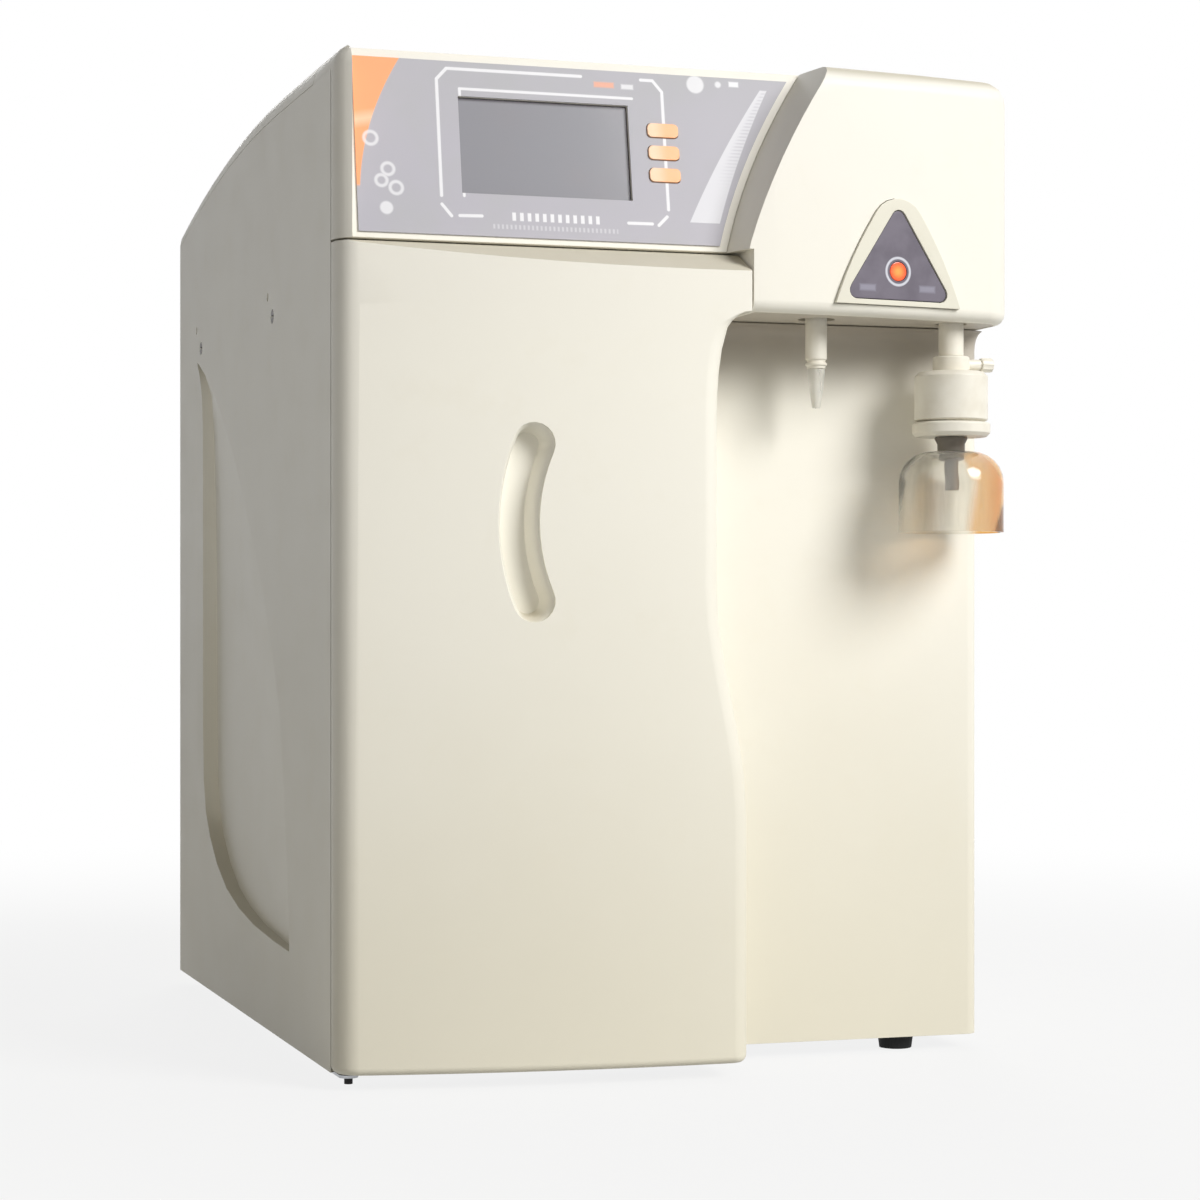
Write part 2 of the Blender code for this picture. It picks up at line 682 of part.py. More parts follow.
def build_door():
    def ring(z, inset, back_overrun=0.0):
        near_head = limit((z - HEAD_BOTTOM_Z + DOOR_EDGE_RADIUS) / DOOR_EDGE_RADIUS)
        radius = DOOR_EDGE_RADIUS + (LEAST_RADIUS - DOOR_EDGE_RADIUS) * near_head
        left_back = FRONT_RETURN_Y + back_overrun
        right_back = DOOR_BACK_Y + back_overrun
        edge = min(edge_x(z), edge_x(z - inset))
        run = front_run(inset, edge, radius, left_back, right_back)
        return [in_plan(x, y, z) for x, y in run]

    def under_slope(top):
        low = top - DOOR_TOP_SLOPE_SHARE * (BOW + OVERRUN)
        outline = [(-BOW - OVERRUN, low), (0, top)]
        outline += [(0, top + OVERRUN), (-BOW - OVERRUN, top + OVERRUN)]
        return prism("slope", outline, in_side, -OVERRUN, CASE_WIDTH)

    foot = DOOR_FOOT_RADIUS
    rings = []
    for angle in spread(0, math.pi / 2, EDGE_STEPS):
        rings.append(ring(foot * (1 - math.cos(angle)), foot * (1 - math.sin(angle))))
    levels = edge_levels(foot, DOOR_TOP_Z)[1:]
    door = loft("front_door", rings + [ring(z, 0) for z in levels[:-1]]
                + [ring(z, 0) for z in (HEAD_BOTTOM_Z, DOOR_TOP_Z)])
    levels = edge_levels(0, DOOR_TOP_Z - 2 * SHELL_WALL)
    cavity = loft("cavity", [ring(z + SHELL_WALL, SHELL_WALL, OVERRUN) for z in levels])
    cut(cavity, under_slope(DOOR_TOP_Z - SHELL_WALL), build_grip("bowl", SHELL_WALL))
    cut(door, under_slope(DOOR_TOP_Z), cavity, build_grip("grip", 0))
    # A tab on the door's back meets the catch
    tab_x = edge_x(CATCH_Z) - SHELL_WALL - GAP - CATCH_WIDTH / 2
    half = STRIKE_WIDTH / 2
    join(door, block("tab", (tab_x - half, front_y(tab_x) + SHELL_WALL / 2, CATCH_Z - CATCH_HEIGHT / 2),
                     (tab_x + half, DOOR_BACK_Y + SEAM - GAP, CATCH_Z + CATCH_HEIGHT / 2)))
    hole = PIN_RADIUS + PIN_CLEARANCE
    through = [(0, -OVERRUN), (hole, -OVERRUN), (hole, DOOR_TOP_Z + OVERRUN)]
    through.append((0, DOOR_TOP_Z + OVERRUN))
    cut(door, turned("bore", through, (HINGE_X, HINGE_Y, 0), sides=SMALL_SIDES))
    return set_origin(finish(door, "ivory_shell"), (HINGE_X, HINGE_Y, 0))


def crescent(half_width):
    # Arc-shaped band with round ends, open to the right like a bracket
    centre = (GRIP_X + GRIP_ARC_RADIUS, GRIP_Z)
    reach = math.asin((GRIP_LENGTH - GRIP_WIDTH) / 2 / GRIP_ARC_RADIUS)
    outer = arc(centre, GRIP_ARC_RADIUS + half_width, math.pi - reach, math.pi + reach, GRIP_STEPS)
    inner = arc(centre, GRIP_ARC_RADIUS - half_width, math.pi + reach, math.pi - reach, GRIP_STEPS)
    ends = []
    for side in (1, -1):
        angle = math.pi + side * reach
        cap = arc(centre, GRIP_ARC_RADIUS, angle, angle, 1)[0]
        start = angle if side > 0 else angle + math.pi
        ends.append(arc(cap, half_width, start, start + math.pi, GRIP_END_STEPS)[1:-1])
    return outer + ends[0] + inner + ends[1]


def build_grip(name, wall):
    # Finger grip: with no wall it is the hollow, with a wall it is the bowl round it
    mouth = front_y(GRIP_X)
    half = GRIP_WIDTH / 2 + wall
    levels = [
        (mouth - OVERRUN, half + GRIP_FLARE),
        (mouth + LEAST_RADIUS, half + GRIP_FLARE),
        (mouth + GRIP_FLARE_DEPTH, half),
        (mouth + GRIP_DEPTH + wall - GRIP_FLARE_DEPTH, half - GRIP_TAPER / 2),
        (mouth + GRIP_DEPTH + wall, half - GRIP_TAPER),
    ]
    rings = [[in_front(x, z, y) for x, z in crescent(width)] for y, width in levels]
    return loft(name, rings)


def build_hinge():
    hole = PIN_RADIUS + PIN_CLEARANCE
    plate_top = -GAP
    plate_foot = plate_top - SHEET
    centre = (HINGE_X, HINGE_Y)
    outline = arc(centre, HINGE_PLATE_HALF, math.pi, math.tau, CORNER_STEPS * 2)
    outline += [(HINGE_X + HINGE_PLATE_HALF, HINGE_PLATE_LENGTH)]
    outline += [(HINGE_X - HINGE_PLATE_HALF, HINGE_PLATE_LENGTH)]
    plate = prism("hinge_plate", outline, in_plan, plate_foot, plate_top)
    through = [(0, plate_foot - OVERRUN), (hole, plate_foot - OVERRUN), (hole, OVERRUN), (0, OVERRUN)]
    cut(plate, turned("bore", through, (*centre, 0), sides=SMALL_SIDES))
    finish(plate, "steel")

    head_top = plate_foot - GAP
    lower = [(0, head_top - PIN_HEAD_HEIGHT), (PIN_HEAD_RADIUS, head_top - PIN_HEAD_HEIGHT)]
    lower += [(PIN_HEAD_RADIUS, head_top), (PIN_RADIUS, head_top), (PIN_RADIUS, PIN_REACH)]
    lower += [(0, PIN_REACH)]
    pin = turned("lower_hinge_pin", lower, (*centre, 0), sides=SMALL_SIDES)
    set_origin(finish(pin, "black_rubber"), (*centre, 0))

    # The upper pin hangs by its head on the inside of the door's top wall
    seat = DOOR_TOP_Z - SHELL_WALL - GAP
    tip = PANEL_FOOT_Z + SHELL_WALL - GAP
    upper = [(0, seat - PIN_REACH), (PIN_RADIUS, seat - PIN_REACH), (PIN_RADIUS, seat - SHEET)]
    upper += [(PIN_HEAD_RADIUS, seat - SHEET), (PIN_HEAD_RADIUS, seat), (PIN_RADIUS, seat)]
    upper += [(PIN_RADIUS, tip), (0, tip)]
    pin = turned("upper_hinge_pin", upper, (*centre, 0), sides=SMALL_SIDES)
    set_origin(finish(pin, "steel"), (*centre, 0))


def build_catch():
    jamb_inside = edge_x(CATCH_Z) - SHELL_WALL - GAP
    catch_y = DOOR_BACK_Y + SEAM
    catch = block("door_catch", (jamb_inside - CATCH_WIDTH, catch_y, CATCH_Z - CATCH_HEIGHT / 2),
                  (jamb_inside, catch_y + CATCH_DEPTH, CATCH_Z + CATCH_HEIGHT / 2))
    finish(catch, "dark_plastic")


def build_alcove():
    top = HEAD_BOTTOM_Z - ALCOVE_TOP_GAP
    right_back = FRONT_SEAM_Y
    jamb_front = DOOR_BACK_Y + SEAM

    def ring(z):
        rise = limit((z - top + ROOF_FILLET) / ROOF_FILLET)
        panel_y = ALCOVE_Y - ROOF_FILLET * (1 - math.sqrt(1 - rise ** 2))
        x = edge_x(z)
        left = (x + JAMB_FILLET, panel_y - JAMB_FILLET)
        right = (CASE_WIDTH - ALCOVE_CORNER_RADIUS, panel_y + ALCOVE_CORNER_RADIUS)
        quarter = math.pi / 2
        run = [(x, jamb_front)]
        run += arc(left, JAMB_FILLET, math.pi, quarter, CORNER_STEPS)
        run += arc(right, ALCOVE_CORNER_RADIUS, -quarter, 0, CORNER_STEPS)
        run += [(CASE_WIDTH, right_back), (CASE_WIDTH - SHELL_WALL, right_back)]
        run += arc(right, ALCOVE_CORNER_RADIUS - SHELL_WALL, 0, -quarter, CORNER_STEPS)
        run += arc(left, JAMB_FILLET + SHELL_WALL, quarter, math.pi, CORNER_STEPS)
        run.append((x - SHELL_WALL, jamb_front))
        return [in_plan(u, v, z) for u, v in run]

    levels = [z for z in edge_levels(0, top) if z < top - ROOF_FILLET]
    levels += [top - ROOF_FILLET * (1 - math.sin(a)) for a in spread(0, math.pi / 2 * 0.9, EDGE_STEPS)]
    finish(loft("alcove_panel", [ring(z) for z in levels + [top]]), "ivory_shell")


def build_fascia():
    def ring(z, inset, back_overrun=0.0):
        back = FRONT_SEAM_Y + back_overrun
        run = front_run(inset, CASE_WIDTH, HEAD_CORNER_RADIUS, back, back)
        return [in_plan(x, y, z) for x, y in run]

    def edge_rings(edge_z, radius, wall, direction, back_overrun=0.0):
        # Rings round an edge: direction 1 closes upwards, -1 opens from below
        rings = []
        for angle in spread(0, math.pi / 2, EDGE_STEPS):
            z = edge_z - direction * (radius - (radius - wall) * math.sin(angle))
            inset = radius - (radius - wall) * math.cos(angle)
            rings.append(ring(z, inset, back_overrun))
        return rings[::direction]

    bottom, top = HEAD_BOTTOM_Z, CASE_HEIGHT
    fascia = loft("front_fascia", edge_rings(bottom, LIP_RADIUS, 0, -1)
                  + edge_rings(top, TOP_EDGE_RADIUS, 0, 1))
    lip_top = bottom + LIP_HEIGHT
    cavity = loft("cavity", [
        ring(bottom - OVERRUN, LIP_RADIUS, OVERRUN), ring(lip_top, LIP_RADIUS, OVERRUN),
        ring(lip_top, SHELL_WALL, OVERRUN),
    ] + edge_rings(top, TOP_EDGE_RADIUS, SHELL_WALL, 1, OVERRUN))

    def pocket(name, wall):
        # Space in front of the tilted panel, with the sloped flank on its right
        back = -PANEL_THICKNESS - GAP - wall
        foot = -OVERRUN * 2
        head = panel_height() + OVERRUN
        rings = []
        for out in (BOW + OVERRUN, 0, back):
            spare = FLANK_RUN * max(0, out) / BOW
            outline = [(RIM_WIDTH - wall, head), (RIM_WIDTH - wall, foot)]
            for v in [foot] + spread(0, panel_height(), FLANK_STEPS) + [head]:
                z = PANEL_FOOT_Z + v * math.cos(PANEL_TILT)
                outline.append((flank_x(z) - FLANK_RUN + spare + wall, v))
            rings.append([on_panel(u, v, out) for u, v in outline])
        return loft(name, rings)

    door_side = EDGE_TOP_X + SEAM
    shelf = PANEL_FOOT_Z - GAP
    far = FRONT_SEAM_Y + 2 * OVERRUN
    near = -BOW - OVERRUN
    low_z = bottom - 2 * OVERRUN
    cut(cavity, pocket("pocket_wall", SHELL_WALL),
        block("shelf_wall", (-OVERRUN, near, low_z),
              (door_side + SHELL_WALL, far, shelf + SHELL_WALL)))
    cut(fascia, cavity,
        block("door_space", (-OVERRUN, near, low_z), (door_side, far, shelf)),
        pocket("pocket", 0),
        prism("window", rectangle(BOARD_LEFT_X - SEAM, BOARD_RIGHT_X + SEAM, BOARD_FOOT - SEAM,
                                  BOARD_FOOT + BOARD_HEIGHT + SEAM), on_panel, 0, -OVERRUN),
        block("side_space", (-OVERRUN, FRONT_RETURN_Y, low_z),
              (SHELL_WALL + GAP, far, CASE_HEIGHT - SIDE_SEAM_DROP)),
        prism("arch", rim_outline(GAP), on_badge, OVERRUN, -OVERRUN))
    hole = PIN_RADIUS + PIN_CLEARANCE
    through = [(0, shelf - OVERRUN), (hole, shelf - OVERRUN), (hole, shelf + OVERRUN / 2)]
    through.append((0, shelf + OVERRUN / 2))
    cut(fascia, turned("bore", through, (HINGE_X, HINGE_Y, 0), sides=SMALL_SIDES))
    finish(fascia, "ivory_shell")


def grow(outline, distance):
    # Moves every side of a counter-clockwise outline outwards
    moved = []
    for index, corner in enumerate(outline):
        last = Vector(corner) - Vector(outline[index - 1])
        following = Vector(outline[(index + 1) % len(outline)]) - Vector(corner)
        out = Vector((last.y, -last.x)).normalized() + Vector((following.y, -following.x)).normalized()
        spot = Vector(corner) + out * (2 * distance / out.length_squared)
        moved.append(tuple(spot))
    return moved


def rim_outline(grown):
    # Arch whose sides lean in more and more towards its round tip
    def half_width(v):
        share = v / RIM_ARCH_HEIGHT
        return RIM_ARCH_WIDTH / 2 * (1 - RIM_LEAN_SHARE * share - RIM_BEND_SHARE * share ** 2)

    shoulder = RIM_ARCH_HEIGHT * RIM_SHOULDER_SHARE
    tip_radius = half_width(shoulder) / math.cos(RIM_TIP_ANGLE)
    centre = (0, shoulder - tip_radius * math.sin(RIM_TIP_ANGLE))
    side = [(half_width(v), v) for v in spread(0, shoulder, EDGE_STEPS + 2)[:-1]]
    tip = arc(centre, tip_radius, RIM_TIP_ANGLE, math.pi - RIM_TIP_ANGLE, CORNER_STEPS + 2)
    return grow(side + tip + [(-u, v) for u, v in side[::-1]], grown)


def button_outline(grown):
    half = BUTTON_WIDTH / 2
    corners = [(-half, BUTTON_FOOT), (half, BUTTON_FOOT), (0, BUTTON_FOOT + BUTTON_HEIGHT)]
    return grow(rounded(corners, [BUTTON_RADIUS] * 3, CORNER_STEPS), grown)


def build_dispense_button():
    rim = prism("badge_rim", rim_outline(0), on_badge, RIM_PROUD, -RIM_DEPTH)
    cut(rim, prism("hole", button_outline(BUTTON_CLEARANCE), on_badge, OVERRUN, -OVERRUN))
    finish(rim, "beige_rim")

    origin = on_badge(0, BUTTON_FOOT, 0)
    face = BUTTON_PROUD
    button = prism("dispense_button", button_outline(0), on_badge, face, face - BUTTON_DEPTH)
    lamp_v = BUTTON_FOOT + LAMP_HEIGHT
    circle = arc((0, lamp_v), LAMP_RADIUS + GAP, 0, math.tau, ROUND_SIDES)[:-1]
    cut(button, prism("well", circle, on_badge, OVERRUN, face - LAMP_THICKNESS - GAP))
    set_origin(finish(button, "violet_button"), origin)
    circle = arc((0, lamp_v), LAMP_RADIUS, 0, math.tau, ROUND_SIDES)[:-1]
    lamp = prism("indicator_lamp", circle, on_badge, face, face - LAMP_THICKNESS)
    set_origin(finish(lamp, "orange_lamp"), origin)

    # The microswitch waits one travel behind the button, on a bracket from the underside
    back = face - BUTTON_DEPTH - BUTTON_TRAVEL - GAP
    low_v = lamp_v - SWITCH_HEIGHT / 2
    outline = rectangle(-SWITCH_WIDTH / 2, SWITCH_WIDTH / 2, low_v, low_v + SWITCH_HEIGHT)
    switch = prism("dispense_switch", outline, on_badge, back, back - SWITCH_DEPTH)
    foot = HEAD_BOTTOM_Z + LIP_HEIGHT + GAP - BADGE_FOOT_Z
    sheet_out = back - SWITCH_DEPTH
    half = BRACKET_WIDTH / 2
    join(switch, prism("sheet", rectangle(-half, half, foot, BRACKET_HEIGHT), on_badge,
                       sheet_out + GAP, sheet_out - SHEET),
         prism("flange", rectangle(-half, half, foot, foot + SHEET), on_badge,
               sheet_out - SHEET / 2, sheet_out - BRACKET_FOOT))
    finish(switch, "dark_plastic")


def build_control_panel():
    height = panel_height()
    screen_right = SCREEN_LEFT_X + SCREEN_WIDTH
    screen_head = SCREEN_FOOT + SCREEN_HEIGHT
    screen = rectangle(SCREEN_LEFT_X, screen_right, SCREEN_FOOT, screen_head)
    key_vs = [KEY_MIDDLE + step * KEY_PITCH for step in (1, 0, -1)]

    def key_outline(v, grown):
        half_u, half_v = KEY_WIDTH / 2 + grown, KEY_HEIGHT / 2 + grown
        return rounded_rectangle(KEY_X - half_u, KEY_X + half_u, v - half_v, v + half_v,
                                 KEY_HEIGHT / 3, KEY_STEPS)

    plate = prism("control_panel", panel_outline(RIM_WIDTH + GAP, GAP, 0, height), on_panel,
                  0, -PANEL_THICKNESS)
    label_top = height - LABEL_FOOT
    film = prism("panel_film", panel_outline(LABEL_LEFT_X, LABEL_MARGIN, LABEL_FOOT, label_top),
                 on_panel, GAP + LABEL_THICKNESS, GAP)
    for sheet in (plate, film):
        cut(sheet, prism("opening", screen, on_panel, OVERRUN, -OVERRUN))
        for v in key_vs:
            cut(sheet, prism("opening", key_outline(v, GAP), on_panel, OVERRUN, -OVERRUN))
    finish(plate, "ivory_shell")
    finish(film, "grey_film")

    inner = rectangle(SCREEN_LEFT_X + GAP, screen_right - GAP, SCREEN_FOOT + GAP, screen_head - GAP)
    glass = prism("display_window", inner, on_panel, -SCREEN_RECESS, -SCREEN_RECESS - GLASS_THICKNESS)
    finish(glass, "screen_glass")

    module_out = -PANEL_THICKNESS - GAP
    board_out = module_out - MODULE_DEPTH - GAP
    outline = rectangle(SCREEN_LEFT_X - MODULE_BORDER, screen_right + MODULE_BORDER / 2,
                        SCREEN_FOOT - MODULE_BORDER, screen_head + MODULE_BORDER)
    module = prism("display_module", outline, on_panel, module_out, board_out + GAP)
    finish(module, "dark_plastic")
    outline = rectangle(BOARD_LEFT_X, BOARD_RIGHT_X, BOARD_FOOT, BOARD_FOOT + BOARD_HEIGHT)
    board = prism("control_board", outline, on_panel, board_out, board_out - BOARD_THICKNESS)

    # The keys' switch strip stands on the board, one travel behind the keys
    strip_out = -PANEL_THICKNESS - KEY_TRAVEL - GAP
    strip = rectangle(KEY_X - KEY_WIDTH / 2, BOARD_RIGHT_X - GAP, key_vs[2] - KEY_HEIGHT / 2,
                      key_vs[0] + KEY_HEIGHT / 2)
    join(board, prism("strip", strip, on_panel, strip_out, board_out - GAP))
    finish(board, "circuit_green")
    for name, v in zip(("upper_key", "middle_key", "lower_key"), key_vs):
        key = prism(name, key_outline(v, 0), on_panel,
                    GAP + LABEL_THICKNESS + KEY_PROUD, -PANEL_THICKNESS)
        set_origin(finish(key, "orange_key"), on_panel(KEY_X, v, 0))


def build_outlet_plate():
    foot = HEAD_BOTTOM_Z + ALCOVE_TOP_GAP
    head = HEAD_BOTTOM_Z + LIP_HEIGHT - GAP
    inset = LIP_RADIUS + GAP
    back = ALCOVE_Y + SHELL_WALL
    run = front_run(inset, CASE_WIDTH, HEAD_CORNER_RADIUS, back, back)
    left = EDGE_TOP_X + SEAM + SHELL_WALL + GAP
    run = [(left, back), (left, front_y(left) + inset)] + [spot for spot in run if spot[0] > left]
    plate = prism("outlet_plate", run, in_plan, foot, head)
    for x, radius in ((PURE_X, PURE_HOLE_RADIUS), (FILTER_X, FILTER_HOLE_RADIUS)):
        through = [(0, foot - OVERRUN), (radius, foot - OVERRUN), (radius, head + OVERRUN)]
        through.append((0, head + OVERRUN))
        cut(plate, turned("hole", through, (x, OUTLET_Y, 0)))
    finish(plate, "ivory_shell")


def build_pure_outlet():
    centre = (PURE_X, OUTLET_Y, 0)
    seat = HEAD_BOTTOM_Z + LIP_HEIGHT
    bore = PURE_STEM_RADIUS + GAP
    outer = PURE_HOLE_RADIUS + COLLAR_WALL
    ring = [(bore, seat), (outer, seat), (outer, seat + COLLAR_HEIGHT), (bore, seat + COLLAR_HEIGHT)]
    finish(turned("pure_outlet_collar", ring, centre), "dark_plastic")

    flange = seat + COLLAR_HEIGHT + GAP
    neck = PURE_STEM_RADIUS - GROOVE
    groove = PURE_STEM_FOOT_Z + STEM_FLANGE
    stem = [
        (PURE_BORE_RADIUS, PURE_STEM_FOOT_Z), (neck, PURE_STEM_FOOT_Z), (neck, groove - GROOVE_HEIGHT),
        (PURE_STEM_RADIUS, groove - GROOVE_HEIGHT + GAP), (PURE_STEM_RADIUS, groove), (neck, groove + GAP),
        (neck, groove + GROOVE_HEIGHT), (PURE_STEM_RADIUS, groove + GROOVE_HEIGHT + GAP),
        (PURE_STEM_RADIUS, flange), (PURE_STEM_RADIUS + STEM_FLANGE, flange),
        (PURE_STEM_RADIUS + STEM_FLANGE, flange + STEM_FLANGE), (TUBE_RADIUS, flange + STEM_FLANGE),
        (TUBE_RADIUS, flange + STEM_FLANGE + BARB_HEIGHT),
        (PURE_BORE_RADIUS, flange + STEM_FLANGE + BARB_HEIGHT),
    ]
    finish(turned("pure_outlet_stem", stem, centre, sides=SMALL_SIDES), "white_plastic")

    top = PURE_STEM_FOOT_Z - GAP
    middle = (top + PURE_TIP_FOOT_Z) / 2
    tip = [
        (PURE_BORE_RADIUS, PURE_TIP_FOOT_Z), (PURE_TIP_END_RADIUS, PURE_TIP_FOOT_Z),
        (PURE_TIP_RADIUS - GROOVE, middle), (PURE_TIP_RADIUS, top - GROOVE_HEIGHT),
        (PURE_TIP_RADIUS, top), (PURE_BORE_RADIUS, top),
    ]
    finish(turned("pure_outlet_tip", tip, centre, sides=SMALL_SIDES), "clear_plastic")


def build_filter_outlet():
    centre = (FILTER_X, OUTLET_Y, 0)
    bore = NOZZLE_BORE_RADIUS

    def bored(name, profile, finish_name, sides=ROUND_SIDES):
        loop = [(bore, profile[0][1])] + profile + [(bore, profile[-1][1])]
        return finish(turned(name, loop, centre, sides=sides), finish_name)

    valve_seat = HEAD_BOTTOM_Z + LIP_HEIGHT + GAP
    bored("filter_stem", [(FILTER_STEM_RADIUS, FILTER_STEM_FOOT_Z), (FILTER_STEM_RADIUS, valve_seat),
                          (FILTER_STEM_RADIUS, valve_seat + COLLAR_HEIGHT)], "white_plastic")

    head = FILTER_STEM_FOOT_Z - GAP
    foot = FILTER_COLLAR_FOOT_Z
    collar = bored("filter_collar", [(FILTER_COLLAR_RADIUS, foot), (FILTER_COLLAR_RADIUS, head - GROOVE),
                                     (FILTER_COLLAR_RADIUS - GROOVE, head)], "white_plastic")
    vent_z = (head + foot) / 2
    vent = [(0, bore + GROOVE), (VENT_RADIUS, bore + GROOVE), (VENT_RADIUS, VENT_REACH), (0, VENT_REACH)]
    join(collar, turned("port", vent, (FILTER_X, OUTLET_Y, vent_z), axis="X", sides=SMALL_SIDES))
    finish(collar, "white_plastic")
    build_vent_cap(vent_z)

    head = foot - GAP
    shoulder = CAPSULE_RADIUS - CAPSULE_SHOULDER
    bored("filter_capsule", [(shoulder, CAPSULE_FOOT_Z),
                             (CAPSULE_RADIUS, CAPSULE_FOOT_Z + CAPSULE_SHOULDER / 2),
                             (CAPSULE_RADIUS, head - CAPSULE_SHOULDER), (shoulder, head)], "white_plastic")
    head = CAPSULE_FOOT_Z - GAP
    bored("capsule_base", [(BASE_RADIUS - BASE_ROUND, BASE_FOOT_Z), (BASE_RADIUS, BASE_FOOT_Z + BASE_ROUND),
                           (BASE_RADIUS, head - BASE_ROUND / 2), (BASE_RADIUS - BASE_ROUND / 2, head)],
          "white_plastic")

    # The nozzle's shank runs up through the bell and the neck, its flange carries the bell
    head = BASE_FOOT_Z - GAP
    shank = NOZZLE_RADIUS + GAP
    foot = BELL_TOP_Z + GAP
    neck = [(shank, foot), (NECK_FOOT_RADIUS, foot), (NECK_FOOT_RADIUS, (foot + head) / 2),
            (NECK_RADIUS, head - GROOVE), (NECK_RADIUS, head), (shank, head)]
    finish(turned("bell_neck", neck, centre), "dark_plastic")
    ledge = BELL_TOP_Z - BELL_WALL - GAP
    bored("filter_nozzle", [(NOZZLE_RADIUS, NOZZLE_FOOT_Z), (NOZZLE_RADIUS, ledge - NOZZLE_FLANGE),
                            (NOZZLE_FLANGE_RADIUS, ledge - NOZZLE_FLANGE), (NOZZLE_FLANGE_RADIUS, ledge),
                            (NOZZLE_RADIUS, ledge), (NOZZLE_RADIUS, head)], "dark_plastic")
    build_bell(centre, shank)


def build_vent_cap(vent_z):
    start = FILTER_X + VENT_REACH + GAP
    centre = (start, OUTLET_Y, vent_z)
    profile = [(0, 0), (VENT_CAP_RADIUS - VENT_CAP_RIB, 0), (VENT_CAP_RADIUS, VENT_CAP_RIB)]
    profile += [(VENT_CAP_RADIUS, VENT_CAP_LENGTH - VENT_CAP_RIB)]
    profile += [(VENT_CAP_RADIUS - VENT_CAP_RIB, VENT_CAP_LENGTH), (0, VENT_CAP_LENGTH)]
    cap = turned("vent_cap", profile, centre, axis="X", sides=VENT_CAP_RIBS * 2)
    # Every other edge of the cap is a grip rib
    for vertex in cap.data.vertices:
        offset = vertex.co - Vector(centre)
        spin = math.atan2(offset.z, offset.y) / math.tau * VENT_CAP_RIBS * 2
        if round(spin) % 2:
            vertex.co.y -= VENT_CAP_RIB * math.cos(math.atan2(offset.z, offset.y))
            vertex.co.z -= VENT_CAP_RIB * math.sin(math.atan2(offset.z, offset.y))
    set_origin(finish(cap, "white_plastic"), centre)


def build_bell(centre, bore):
    def dome(radius, top):
        # From the flat crown over the shoulder down to the rim
        crown = radius - BELL_SHOULDER
        run = arc((crown, top - BELL_SHOULDER), BELL_SHOULDER, math.pi / 2, 0, BELL_STEPS)
        return run + [(radius, BELL_FOOT_Z)]

    outer = dome(BELL_RADIUS, BELL_TOP_Z)
    inner = [(radius - BELL_WALL, min(z, BELL_TOP_Z - BELL_WALL)) for radius, z in outer]
    inner = [(radius, z - BELL_WALL * limit((z - BELL_FOOT_Z) / (BELL_TOP_Z - BELL_FOOT_Z))
              if z < BELL_TOP_Z - BELL_WALL else z) for radius, z in inner]
    profile = [(bore, BELL_TOP_Z)] + outer + inner[::-1] + [(bore, BELL_TOP_Z - BELL_WALL)]
    finish(turned("splash_bell", profile, centre), "clear_plastic")


def scoop_rows():
    # Smooth the ten hand-placed pairs of crease and edge points
    pairs = []
    for crease, edge in SCOOP_SHARES:
        pairs.append([Vector((spot[0] * CASE_DEPTH, spot[1] * CASE_HEIGHT)) for spot in (crease, edge)])
    rows = []
    last = len(pairs) - 1
    for index in range(last):
        near = [pairs[max(0, min(last, index + step))] for step in (-1, 0, 1, 2)]
        for step in range(SCOOP_SMOOTH):
            share = step / SCOOP_SMOOTH
            row = []
            for side in range(2):
                a, b, c, d = (pair[side] for pair in near)
                bend = (2 * a - 5 * b + 4 * c - d) * share ** 2 + (3 * b - a - 3 * c + d) * share ** 3
                row.append((2 * b + (c - a) * share + bend) / 2)
            rows.append(row)
    return rows + [pairs[-1]]


def scoop_body(name, place_x, wall, border):
    # The scoop lies flush at its crease and deepens to its back edge
    rows = scoop_rows()
    rings = []
    for index, (crease, edge) in enumerate(rows):
        fullness = math.sin(math.pi * (index + 0.5) / (len(rows) + 1)) ** 0.4
        depth = SCOOP_DEPTH * fullness + wall
        shallow = LEAST_RADIUS + wall
        outward = (edge - crease).normalized() * border
        crease, edge = crease - outward, edge + outward
        rings.append([
            place_x(-OVERRUN if not wall else LEAST_RADIUS, crease), place_x(shallow, crease),
            place_x(depth, edge), place_x(-OVERRUN if not wall else LEAST_RADIUS, edge),
        ])
    return loft(name, rings)


